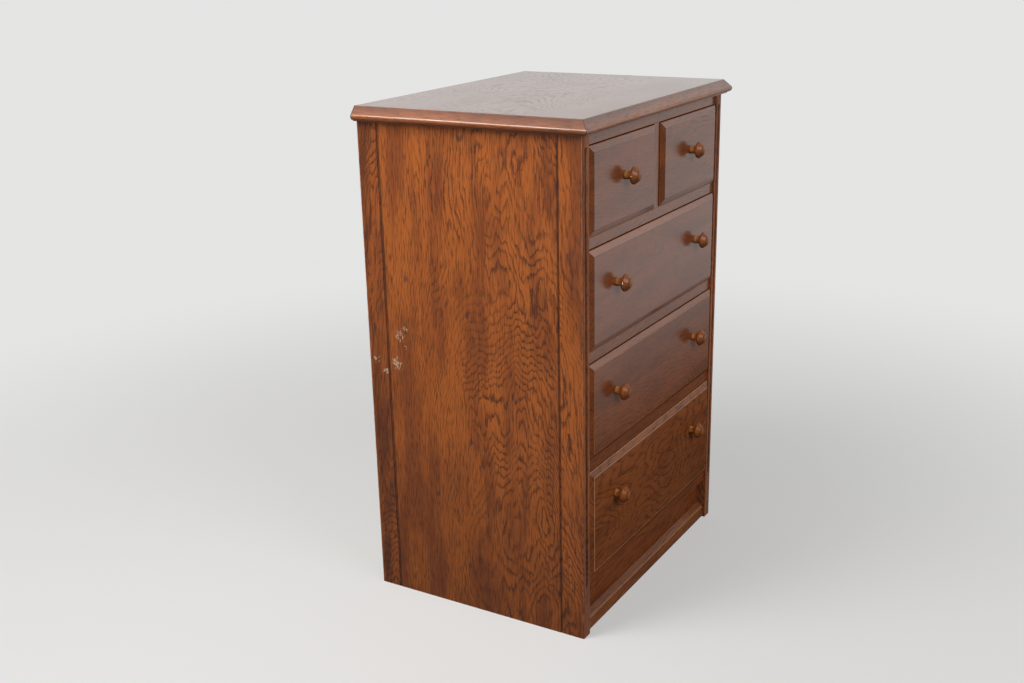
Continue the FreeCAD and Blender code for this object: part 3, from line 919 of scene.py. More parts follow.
@dataclass(frozen=True)
class TurnedWood(WoodFinish):
    """Turned knob wood, amber brown under a gloss lacquer, with painted shade and a duller coat underneath.
    """

    name: str = "turned_amber_wood"
    pale: Colour = (0.42, 0.116, 0.014)
    dark: Colour = (0.085, 0.022, 0.006)
    # Colour of the neck: partly rubbed wood, partly painted light.
    bright: Colour = (0.98, 0.420, 0.125)
    grime_and_shade: Colour = (0.012, 0.006, 0.004)
    ring_width: float = 2.6 * MM
    bow: float = 20.0 * MM
    wave: float = 4.0 * MM
    figure_share: float = 0.5
    grime_and_shade_share: float = 0.95
    painted_underside_shade: Step = Step(-0.9, 0.2, 0.85, 0.0)
    coat_step: Step = Step(-0.35, 0.45, 0.2, 0.7)
    low_coat_step: Step = Step(0.25, 0.8, 0.45, 1.0)
    coat_roughness: float = 0.03
    roughness: float = 0.25
    bump: float = 0.10
    bump_distance: float = 0.2 * MM
    slot: str = "knob_wood"

    def looks(self, graph: Graph) -> dict[str, object]:
        """Lays the nodes: wood with its figure, brighter on the neck as rubbed wood and painted light, with
        painted shade underneath and in the knob's creases, under a coat.

        Args:
            graph: The material's graph.

        Returns:
            What each of the shader's inputs is fed with.
        """
        place = graph.place()
        level = graph.facing()["Z"]
        figure = self.figure(graph, graph.attribute("log_place", "Vector"))
        colour = graph.mix(graph.attribute("wear"), self.pale, self.bright)
        colour = graph.lay(figure["Ring"], self.figure_share, colour, self.dark)
        colour = graph.lay(figure["Pore"], self.figure_share, colour, self.dark)
        # Painted shade on faces that look down.
        colour = graph.mix(graph.ease(level, self.painted_underside_shade), colour, self.dark)
        low_coat = graph.ease(graph.parts(place)["Z"], self.low_coat_step)
        return {
            # Darkening in the knob's creases: painted shade.
            "Base Color": graph.lay(self.grime_and_shade_mask(graph, place), self.grime_and_shade_share, colour, self.grime_and_shade),
            "Roughness": self.haze(graph, place),
            "Coat Weight": graph.times(graph.ease(level, self.coat_step), low_coat),
            "Coat Roughness": self.coat_roughness,
            "Specular IOR Level": 0.0,
            "Normal": self.relief(graph, figure),
        }


@dataclass(frozen=True)
class PlainBoard(WoodFinish):
    """Thinly sealed boards and plywood inside the chest, with the grain along one axis."""

    name: str
    slot: str
    grain: Axis
    pale: Colour = (0.50, 0.33, 0.175)
    dark: Colour = (0.27, 0.155, 0.070)
    ring_width: float = 4.5 * MM
    bow: float = 150.0 * MM
    wave: float = 6.0 * MM
    ring_share: float = 0.6
    pore_share: float = 0.4
    tone_step: Step = Step(0.25, 0.75, 0.8, 1.12)
    roughness: float = 0.62
    bump: float = 0.15
    bump_distance: float = 0.3 * MM
    heart: Place = (0.0, 0.41, 0.23)

    def looks(self, graph: Graph) -> dict[str, object]:
        """Lays the nodes: the figure of a board whose log is turned so that its grain runs along the axis.

        Args:
            graph: The material's graph.

        Returns:
            What each of the shader's inputs is fed with.
        """
        place = graph.place()
        parts = graph.parts(place)
        order = (self.grain.value, *self.grain.others())
        turned = graph.add("ShaderNodeCombineXYZ", {row: parts[axis] for row, axis in enumerate(order)})
        figure = self.figure(graph, graph.vector("ADD", turned.outputs[0], self.heart))
        colour = graph.lay(figure["Ring"], self.ring_share, self.pale, self.dark)
        colour = graph.shaded(colour, graph.ease(figure["Tone"], self.tone_step))
        return {
            "Base Color": graph.lay(figure["Pore"], self.pore_share, colour, self.dark),
            "Roughness": self.haze(graph, place),
            "Normal": self.relief(graph, figure),
        }


@dataclass(frozen=True)
class ScrewSteel(Finish):
    """Plain steel of the screws under the top."""

    name: str = "screw_steel"
    slot: str = "steel"
    bright: Colour = (0.55, 0.54, 0.52)
    dull: Colour = (0.30, 0.27, 0.24)
    dull_clouds: Clouds = Clouds((300.0, 300.0, 300.0), 4.0, 0.65)
    dull_step: Step = Step(0.45, 0.70)
    roughness: float = 0.38

    def looks(self, graph: Graph) -> dict[str, object]:
        """Lays the nodes: bright steel with dull spots.

        Args:
            graph: The material's graph.

        Returns:
            What each of the shader's inputs is fed with.
        """
        place = graph.place()
        spots = graph.ease(graph.noise(place, self.dull_clouds), self.dull_step)
        return {
            "Base Color": graph.mix(spots, self.bright, self.dull),
            "Roughness": self.haze(graph, place),
            "Metallic": 1.0,
        }


SIDE_SCUFFS = (
    ((-0.324, 0.172, 0.590), 14.0 * MM),
    ((-0.324, 0.184, 0.574), 24.0 * MM),
    ((-0.324, 0.170, 0.552), 9.0 * MM),
    ((-0.324, 0.196, 0.515), 26.0 * MM),
    ((-0.324, 0.172, 0.053), 8.0 * MM),
)
REAR_POST_SCUFFS = (
    ((-0.324, 0.246, 0.518), 18.0 * MM),
    ((-0.324, 0.224, 0.494), 16.0 * MM),
)
SIDE_OAK = StainedOak("side_oak", painted_foot_shade=0.72, scuffs=SIDE_SCUFFS)
FRONT_POST_OAK = StainedOak("front_post_oak", painted_foot_shade=0.8, wear_amount=0.65)
REAR_POST_OAK = StainedOak(
    "rear_post_oak",
    pale=(0.35, 0.094, 0.020),
    brown=(0.14, 0.038, 0.012),
    painted_foot_shade=0.8,
    ring_share=1.0,
    scuffs=REAR_POST_SCUFFS,
)
FRONT_OAK = StainedOak(
    "front_oak",
    pale=(0.29, 0.084, 0.026),
    brown=(0.21, 0.060, 0.020),
    dark=(0.055, 0.019, 0.010),
    wave=36.0 * MM,
    ring_width=6.0 * MM,
    ring_share=0.60,
    pore_share=0.40,
    blotch_share=0.4,
    gloss=0.0,
    coat=1.0,
    coat_roughness=0.22,
    coat_ior=1.7,
    low_coat=0.04,
    ring_dull=0.06,
    wear_amount=1.25,
)
LOW_FRONT_OAK = replace(
    FRONT_OAK,
    name="low_front_oak",
    pale=(0.38, 0.115, 0.035),
    brown=(0.28, 0.084, 0.027),
    worn=(0.85, 0.50, 0.30),
    ring_share=0.55,
    wear_amount=2.4,
    painted_foot_shade=0.70,
)
BASE_OAK = replace(FRONT_OAK, name="base_oak", pale=(0.36, 0.125, 0.050), brown=(0.27, 0.094, 0.040))
TOP_OAK = StainedOak(
    "top_oak",
    pale=(0.15, 0.066, 0.036),
    brown=(0.12, 0.052, 0.029),
    wave=36.0 * MM,
    ring_share=0.70,
    pore_share=0.80,
    blotch_share=0.2,
    coat=1.0,
    coat_roughness=0.22,
    ring_dull=0.24,
)
MOULDING_OAK = StainedOak(
    "moulding_oak",
    pale=(0.31, 0.097, 0.032),
    brown=(0.22, 0.068, 0.025),
    wave=5.0 * MM,
    bow=60.0 * MM,
    ring_share=0.35,
    pore_share=0.40,
    blotch_share=0.2,
    wear_amount=1.15,
    coat=1.0,
    coat_roughness=0.10,
    coat_ior=1.7,
    under_coat=0.15,
)
KNOB_WOOD = TurnedWood()
BOX_BOARD_DEEP = PlainBoard("box_board_deep", "drawer_box_wood", Axis.Y)
BOX_BOARD_ACROSS = PlainBoard("box_board_across", "drawer_box_wood", Axis.X)
PLY_ACROSS = PlainBoard(
    "ply_across", "plywood", Axis.X, pale=(0.55, 0.38, 0.21), dark=(0.36, 0.22, 0.11), ring_width=8.0 * MM)
PLY_UPRIGHT = PlainBoard(
    "ply_upright", "plywood", Axis.Z, pale=(0.53, 0.37, 0.21), dark=(0.34, 0.21, 0.11), ring_width=8.0 * MM)
STEEL = ScrewSteel()


# Pieces


@dataclass(frozen=True)
class Cut:
    """How a board lies in its log, which sets the figure on its faces.

    The heart is the log's middle, measured from the board's middle: into the board, square to its face, and
    across it. The shift is how far along the log the board lies, and the slant is how far the grain leans
    across the board for each step along it.
    """

    grain: Axis
    face: Axis
    heart: Span
    shift: float = 0.0
    slant: float = 0.0

    def log_places(self, points: Array) -> Array:
        """Places in the log: along the grain, into the board and across it from the heart.

        Args:
            points: Places on the chest.

        Returns:
            The same points in the log.
        """
        side = 3 - self.grain.value - self.face.value
        middle = (points.min(axis=0) + points.max(axis=0)) / 2
        along = points[:, self.grain.value]
        deep = points[:, self.face.value] - middle[self.face.value] - self.heart[0]
        across = points[:, side] - middle[side] - self.heart[1] + self.slant * along
        return np.stack((along + self.shift, deep, across), axis=1)


def extent(node: str) -> tuple[Array, Array]:
    """The lowest and the highest corner of a solid, as arrays."""
    low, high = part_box(node)
    return np.array(low), np.array(high)


def place_piece(
    node: str, surface: Surface, cut: Cut, finish: Finish, weld: bool = False
) -> bpy.types.Object:
    """Makes the mesh of a piece, which stands for one solid and rides on its body.

    Args:
        node: The solid's name.
        surface: The piece's shape.
        cut: How the piece lies in its log.
        finish: What it is finished with.
        weld: Whether points that meet are merged and open ends are closed.

    Returns:
        The piece.
    """
    mesh = bpy.data.meshes.new(node + "_finished")
    mesh.from_pydata(surface.points, [], surface.faces)
    for name, values in {"wear": surface.wear, "grime_and_shade": surface.grime_and_shade}.items():
        mesh.attributes.new(name, "FLOAT", "POINT").data.foreach_set("value", values.astype(np.float32))
    places = cut.log_places(surface.points).astype(np.float32).reshape(-1)
    mesh.attributes.new("log_place", "FLOAT_VECTOR", "POINT").data.foreach_set("vector", places)
    if weld:
        work = bmesh.new()
        work.from_mesh(mesh)
        bmesh.ops.remove_doubles(work, verts=work.verts, dist=WELD_DISTANCE)
        bmesh.ops.holes_fill(work, edges=[edge for edge in work.edges if edge.is_boundary], sides=0)
        work.to_mesh(mesh)
        work.free()
    mesh.shade_smooth()
    mesh.set_sharp_from_angle(angle=SMOOTH_ANGLE)
    mesh.materials.append(finish.material())
    piece = bpy.data.objects.new(node + "_finished", mesh)
    bpy.context.scene.collection.objects.link(piece)
    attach(piece, frame["nodes"][node]["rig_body"])
    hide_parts(node)
    return piece


def dress_solid(node: str, finish: Finish) -> bpy.types.Object:
    """Gives a solid that stays in sight its finish.

    Args:
        node: The solid's name.
        finish: What it is finished with.

    Returns:
        The solid's object.
    """
    solid = frame["nodes"][node]
    solid.data.materials.clear()
    solid.data.materials.append(finish.material())
    return solid


@dataclass(frozen=True)
class CaseSide:
    """One side of the case: front post with a stopped flute, flush panel and rear post."""

    side: Side
    outer_round: float = 2.0 * MM
    inner_round: float = 0.7 * MM
    inner_wear: float = 0.8
    rear_wear: float = 0.4
    seam: float = 1.2 * MM
    seam_round: float = 0.25 * MM
    # How far the seams' soiling and painted shade spread.
    seam_reach: float = 3.2 * MM
    rebate_grime_and_shade: float = 0.8
    flute_radius: float = 4.5 * MM
    flute_arris: float = 0.5 * MM
    flute_margin: float = 1.0 * MM
    flute_above_rail: float = 13.0 * MM
    flute_below_rail: float = 1.0 * MM
    flute_wear: float = 0.6
    flute_grime_and_shade: Span = (0.25, 0.75)
    end_steps: int = 16
    side_steps: int = 13
    arris_steps: int = 4
    hollow_steps: int = 12
    panel_thickness: float = 15.0 * MM
    back_rebate: float = 8.0 * MM
    front_post_cut: Cut = Cut(Axis.Z, Axis.X, (0.22, 0.05), 0.0, -0.08)
    panel_cut: Cut = Cut(Axis.Z, Axis.X, (0.25, -0.12), 1.0)
    rear_post_cut: Cut = Cut(Axis.Z, Axis.X, (0.22, -0.05), 0.6, 0.08)
    right_shift: float = 1.7

    def build(self) -> list[bpy.types.Object]:
        """Builds and dresses the posts and the panel.

        Returns:
            The pieces.
        """
        rows = (
            ("front_post_", self.front_post(), self.front_post_cut, FRONT_POST_OAK, True),
            ("side_panel_", self.panel(), self.panel_cut, SIDE_OAK, False),
            ("rear_post_", self.rear_post(), self.rear_post_cut, REAR_POST_OAK, False),
        )
        made = []
        for start, surface, cut, finish, weld in rows:
            if self.side is Side.LEFT:
                surface = surface.mirrored()
            else:
                cut = replace(cut, heart=(-cut.heart[0], cut.heart[1]), shift=cut.shift + self.right_shift)
            made.append(place_piece(start + self.side.value, surface, cut, finish, weld))
        return made

    def _seam(self, first: float, second: float) -> Corner:
        """A corner of the seam between a post and the panel, darkened by soiling and painted shade."""
        return Corner(first, second, self.seam_round, 0.0, 1.0)

    def front_post(self) -> Surface:
        """The right front post.

        Its front face is a grid of loops round the flute's middle line: an outer rectangle, then lines at a
        falling distance from that line, over the flute's rounded arris and down its circular hollow. The rest
        is the open section of the other three faces, carried up the post at the rectangle's own levels.

        Returns:
            The post, open at its ends and not yet welded.
        """
        low, high = extent("front_post_right")
        foot = extent("bottom_rail")[0][2] + self.flute_above_rail + self.flute_radius
        head = extent("top_rail")[0][2] - self.flute_below_rail - self.flute_radius
        x_left, x_right = low[0] + self.inner_round, high[0] - self.outer_round
        quarter = self.end_steps // 4
        knots = (0, quarter, 3 * quarter, self.end_steps)
        steps = np.arange(self.end_steps + 1)
        turn = np.pi * steps / self.end_steps
        sides = np.linspace(foot, head, self.side_steps + 1)[1:-1]
        along = np.zeros(len(sides))
        lower_x = np.interp(steps, knots, (x_left, x_left, x_right, x_right))
        lower_z = np.interp(steps, knots, (foot, low[2], low[2], foot))
        upper_z = np.interp(steps, knots, (head, high[2], high[2], head))
        outer_x = np.concatenate((lower_x, along + x_right, lower_x[::-1], along + x_left))
        outer_z = np.concatenate((lower_z, sides, upper_z, sides[::-1]))
        angle = np.concatenate((np.pi + turn, along, turn, along + np.pi))
        heart_z = np.concatenate((np.full(len(steps), foot), sides, np.full(len(steps), head), sides[::-1]))
        offset, depth, wear, grime_and_shade = self._flute_rows()
        middle_x = (low[0] + high[0]) / 2
        x = np.vstack((outer_x[None], middle_x + offset[:, None] * np.cos(angle)[None]))
        z = np.vstack((outer_z[None], heart_z[None] + offset[:, None] * np.sin(angle)[None]))
        y = low[1] + np.broadcast_to(np.concatenate(([0.0], depth))[:, None], x.shape)
        loops, columns = x.shape
        face = Surface(
            np.stack((x, y, z), axis=-1).reshape(-1, 3),
            grid_faces(loops, columns, True),
            np.repeat(np.concatenate(([0.0], wear)), columns),
            np.repeat(np.concatenate(([0.0], grime_and_shade)), columns),
        )
        levels = np.concatenate((lower_z[-quarter - 1:], sides, upper_z[:quarter + 1]))
        shares = (levels - low[2]) / (high[2] - low[2])
        skin = sweep(self._post_skin(low, high), Axis.Z, low[2], high[2], shares, closed=False)
        return Surface.join((face, skin))

    def _flute_rows(self) -> tuple[Array, Array, Array, Array]:
        """The flute's section, from the flat beside it over a quarter circle and down the hollow's circle.

        Returns:
            For each row, its distance from the flute's middle line, its depth, its wear and how dark soiling
            and painted shade make it.
        """
        arris_turn = np.linspace(0.0, np.pi / 2, self.arris_steps + 1)
        hollow_start = np.arcsin(self.flute_arris / self.flute_radius)
        hollow_turn = np.linspace(hollow_start, np.pi / 2, self.hollow_steps + 1)[1:]
        reach = self.flute_radius + self.flute_arris
        arris_offset = reach - self.flute_arris * np.sin(arris_turn)
        arris_depth = self.flute_arris * (1 - np.cos(arris_turn))
        hollow_offset = self.flute_radius * np.cos(hollow_turn)
        hollow_depth = self.flute_radius * np.sin(hollow_turn)
        offset = np.concatenate(([reach + self.flute_margin], arris_offset, hollow_offset))
        depth = np.concatenate(([0.0], arris_depth, hollow_depth))
        clean = np.zeros(1 + len(arris_turn))
        wear = np.concatenate(([0.0], np.full(len(arris_turn), self.flute_wear), np.zeros(len(hollow_turn))))
        # Darker down the hollow: soiling and painted shade.
        grime_and_shade = np.concatenate((clean, np.linspace(*self.flute_grime_and_shade, len(hollow_turn))))
        return offset, depth, wear, grime_and_shade

    def _post_skin(self, low: Array, high: Array) -> Profile:
        """The front post's section without its front face, which is the fluted one.

        Args:
            low: The post's lowest corner.
            high: Its highest corner.

        Returns:
            The section, from where one arris of the front face starts to where the other one ends.
        """
        section = rounded([
            Corner(low[0] + self.inner_round, low[1]),
            Corner(high[0], low[1], self.outer_round, 1.0),
            self._seam(high[0], high[1] - self.seam),
            self._seam(high[0] - self.seam, high[1]),
            Corner(low[0], high[1], self.inner_round),
            Corner(low[0], low[1], self.inner_round, self.inner_wear),
            Corner(high[0] - self.outer_round, low[1]),
        ], closed=False)
        return section.part(slice(2, -2))

    def rear_post(self) -> Surface:
        """The right rear post, with the rebate for the back.

        Returns:
            The post.
        """
        low, high = extent("rear_post_right")
        rebate_x = low[0] + self.back_rebate
        rebate_y = extent("back_panel")[0][1]
        section = rounded([
            Corner(low[0], low[1], self.inner_round),
            self._seam(high[0] - self.seam, low[1]),
            self._seam(high[0], low[1] + self.seam),
            Corner(high[0], high[1], self.outer_round, 1.0),
            Corner(rebate_x, high[1], self.inner_round, self.rear_wear),
            Corner(rebate_x, rebate_y, self.seam_round, 0.0, self.rebate_grime_and_shade),
            Corner(low[0], rebate_y, self.inner_round),
        ], reach=self.seam_reach)
        return sweep(section, Axis.Z, low[2], high[2], ENDS)

    def panel(self) -> Surface:
        """The right side panel, flush with the posts, with half of a V-shaped seam along each edge.

        Returns:
            The panel.
        """
        front = extent("front_post_right")[1][1]
        rear = extent("rear_post_right")[0][1]
        low, high = extent("side_panel_right")
        inner = high[0] - self.panel_thickness
        section = rounded([
            Corner(inner, front, self.seam_round),
            self._seam(high[0] - self.seam, front),
            self._seam(high[0], front + self.seam),
            self._seam(high[0], rear - self.seam),
            self._seam(high[0] - self.seam, rear),
            Corner(inner, rear, self.seam_round),
        ], reach=self.seam_reach)
        return sweep(section, Axis.Z, low[2], high[2], ENDS)


@dataclass(frozen=True)
class Top:
    """The top board and the three mitred mouldings round it."""

    land: float = 2.8 * MM
    land_round: float = 0.5 * MM
    land_grime_and_shade: float = 0.9
    bead_radius: float = 7.0 * MM
    bead_steps: int = 21
    crest_angle: float = math.radians(22.0)
    crest_spread: float = math.radians(24.0)
    crest_wear_and_highlight: float = 0.75
    underside_shade_angle: float = math.radians(50.0)
    underside_shade_spread: float = math.radians(40.0)
    quirk: float = 1.0 * MM
    quirk_round: float = 0.2 * MM
    fillet_height: float = 2.2 * MM
    fillet_round: float = 0.3 * MM
    fillet_wear: float = 0.5
    seam_round: float = 0.35 * MM
    board_edge: float = 4.0 * MM
    mitre_edge: float = 2.2 * MM
    mitre_grime: float = 1.0
    chamfer_start: float = 1.5 * MM
    chamfer_steps: int = 6
    chamfer_shade: float = 0.5
    chamfer_fade: float = 1.4
    board_cut: Cut = Cut(Axis.X, Axis.Z, (-0.25, 0.03), 0.3)
    front_cut: Cut = Cut(Axis.X, Axis.Y, (0.06, -0.04), 2.1)
    right_cut: Cut = Cut(Axis.Y, Axis.Z, (0.05, 0.05), 0.7)
    left_cut: Cut = Cut(Axis.Y, Axis.Z, (0.05, -0.05), 3.4)

    def build(self) -> list[bpy.types.Object]:
        """Builds and dresses the top board and the mouldings.

        Returns:
            The pieces.
        """
        right = self.side_moulding()
        return [
            place_piece("top_board", self.board(), self.board_cut, TOP_OAK),
            place_piece("top_moulding_front", self.front_moulding(), self.front_cut, MOULDING_OAK),
            place_piece("top_moulding_right", right, self.right_cut, MOULDING_OAK),
            place_piece("top_moulding_left", right.mirrored(), self.left_cut, MOULDING_OAK),
        ]

    def board(self) -> Surface:
        """The flat board, with its upper edge eased where it meets the mouldings.

        Returns:
            The board.
        """
        low, high = extent("top_board")
        section = rounded([
            Corner(0.0, low[2]),
            Corner(0.0, high[2], self.seam_round, 0.0, 1.0),
            Corner(self.board_edge, high[2]),
        ], closed=False)
        return frame_loops(low[:2], high[:2], (Axis.X, Axis.Y), Axis.Z, section)

    def section(self) -> Profile:
        """The moulding's section, as distance out from the case and height over the case.

        It goes up the inner face, over the land, down the chamfer to where that touches the bead, round the
        bead to its lowest point, and back along the fillet under it.

        Returns:
            The closed section.
        """
        low, high = extent("top_moulding_front")
        thickness = high[2] - low[2]
        bead_out = extent("top_board")[0][1] - low[1] - self.bead_radius
        bead_up = self.fillet_height + self.bead_radius
        fillet_out = bead_out - self.quirk
        land_over, land_from = thickness - bead_up, self.land - bead_out
        spread = math.acos(self.bead_radius / math.hypot(land_over, land_from))
        turn = np.linspace(math.atan2(land_over, land_from) - spread, -np.pi / 2, self.bead_steps + 1)
        bead_points = (bead_out + self.bead_radius * np.cos(turn), bead_up + self.bead_radius * np.sin(turn))
        # Paler crest of the bead: partly wear, partly painted highlight.
        crest = np.exp(-((turn - self.crest_angle) / self.crest_spread) ** 2) * self.crest_wear_and_highlight
        # Painted shade on the bead's underside.
        under = np.clip((-turn - self.underside_shade_angle) / self.underside_shade_spread, 0.0, 1.0)
        bead = Profile(np.stack(bead_points, axis=1), crest, under)
        (start_out, start_up), (end_out, end_up) = bead.points[0], bead.points[-1]
        slope = (thickness - start_up) / (start_out - self.land)
        chamfer_out = self.land + self.chamfer_start
        chamfer_up = thickness - self.chamfer_start * slope
        upper = rounded([
            Corner(0.0, 0.0),
            # The joint with the board is darkened by soiling, and the land's outer edge by painted shade.
            Corner(0.0, thickness, self.seam_round, 0.0, self.land_grime_and_shade),
            Corner(self.land, thickness, self.land_round, 0.0, self.land_grime_and_shade),
            Corner(chamfer_out, chamfer_up, 0.0, 0.0, self.chamfer_shade),
        ], closed=False)
        # Painted shade down the chamfer, fading towards the bead.
        down = np.linspace(0.0, 1.0, self.chamfer_steps + 1)
        out = chamfer_out + down * (start_out - chamfer_out)
        fading = self.chamfer_shade * np.clip(1.0 - self.chamfer_fade * down, 0.0, 1.0)
        chamfer_points = np.stack((out, thickness - (out - self.land) * slope), axis=1)
        chamfer = Profile(chamfer_points, np.zeros(len(down)), fading)
        lower = rounded([
            # Painted shade in the quirk under the bead.
            Corner(end_out, end_up, 0.0, 0.0, 1.0),
            Corner(fillet_out, self.fillet_height, self.quirk_round, 0.0, 1.0),
            Corner(fillet_out, 0.0, self.fillet_round, self.fillet_wear),
            Corner(0.0, 0.0),
        ], closed=False)
        return Profile.chain((upper, chamfer, bead, lower))

    def _stations(self, length: float) -> Array:
        """Shares of the length at which the section is laid: both ends, and close to each for the darkened
        joint.
        """
        edge = self.mitre_edge / length
        return np.array((0.0, edge, 1.0 - edge, 1.0))

    def front_moulding(self) -> Surface:
        """The front moulding, mitred at both ends.

        Returns:
            The moulding.
        """
        section = self.section()
        out, up = section.points[:, 0], section.points[:, 1]
        low, high = extent("top_board")
        placed = replace(section, points=np.stack((low[1] - out, low[2] + up), axis=1))
        shares = self._stations(high[0] - low[0])
        return sweep(placed, Axis.X, low[0] - out, high[0] + out, shares, end_grime=self.mitre_grime)

    def side_moulding(self) -> Surface:
        """The right side moulding, mitred at the front and square at the back.

        Returns:
            The moulding.
        """
        section = self.section()
        out, up = section.points[:, 0], section.points[:, 1]
        low, high = extent("top_board")
        placed = replace(section, points=np.stack((low[2] + up, high[0] + out), axis=1))
        shares = self._stations(high[1] - low[1])
        return sweep(placed, Axis.Y, low[1] - out, high[1], shares, end_grime=self.mitre_grime)


@dataclass(frozen=True)
class FrontFrame:
    """Rails, muntin, apron and base rail between the front posts."""

    rails: tuple[str, ...] = (
        "bottom_rail", "rail_over_bottom_row", "rail_over_third_row", "rail_over_second_row", "top_rail")
    arris: float = 0.8 * MM
    rail_cut: Cut = Cut(Axis.X, Axis.Y, (0.25, 0.18))
    rail_shift: float = 0.8
    muntin_cut: Cut = Cut(Axis.Z, Axis.Y, (0.25, 0.18), 5.0)
    apron_cut: Cut = Cut(Axis.X, Axis.Y, (0.25, 0.10), 6.2)
    apron_wear: float = 0.3
    base_cut: Cut = Cut(Axis.X, Axis.Y, (0.25, 0.18), 7.1)
    base_front_height: float = 27.0 * MM
    base_back_height: float = 35.0 * MM
    base_foot_wear: float = 0.6
    base_back_grime_and_shade: float = 0.6
    nosing: float = 3.0 * MM
    nosing_wear: float = 0.9

    def build(self) -> list[bpy.types.Object]:
        """Builds and dresses the pieces of the front frame.

        Returns:
            The pieces.
        """
        reach = extent("front_post_right")[0][0]
        upright = (extent("rail_over_second_row")[1][2], extent("top_rail")[0][2])
        made = []
        for index, node in enumerate(self.rails):
            cut = replace(self.rail_cut, shift=self.rail_shift * index)
            made.append(place_piece(node, self.board(node, Axis.X, (-reach, reach)), cut, FRONT_OAK))
        apron = self.board("apron", Axis.X, (-reach, reach), self.apron_wear)
        made += [
            place_piece("muntin", self.board("muntin", Axis.Z, upright), self.muntin_cut, FRONT_OAK),
            place_piece("apron", apron, self.apron_cut, FRONT_OAK),
            place_piece("base_rail", self.base_rail(reach), self.base_cut, BASE_OAK),
        ]
        return made

    def board(self, node: str, along: Axis, span: Span, wear: float = 1.0) -> Surface:
        """A square-edged board with all four arrises rounded alike.

        Args:
            node: The solid that gives its section.
            along: The axis that it runs along.
            span: Where it starts and ends in sight.
            wear: How worn its arrises are.

        Returns:
            The board.
        """
        (left, bottom), (right, top) = (corner[list(along.others())] for corner in extent(node))
        corners = ((left, bottom), (right, bottom), (right, top), (left, top))
        section = rounded([Corner(first, second, self.arris, wear) for first, second in corners])
        return sweep(section, along, *span, ENDS)

    def base_rail(self, reach: float) -> Surface:
        """The base rail, whose top slopes up to the apron behind a rounded nosing.

        Args:
            reach: Half its length.

        Returns:
            The rail.
        """
        low, high = extent("base_rail")
        section = rounded([
            Corner(low[1], low[2], self.arris, self.base_foot_wear),
            Corner(high[1], low[2], self.arris),
            # Darker in the corner with the apron: soiling and painted shade.
            Corner(high[1], low[2] + self.base_back_height, self.arris, 0.0, self.base_back_grime_and_shade),
            Corner(low[1], low[2] + self.base_front_height, self.nosing, self.nosing_wear),
        ])
        return sweep(section, Axis.X, -reach, reach, ENDS)


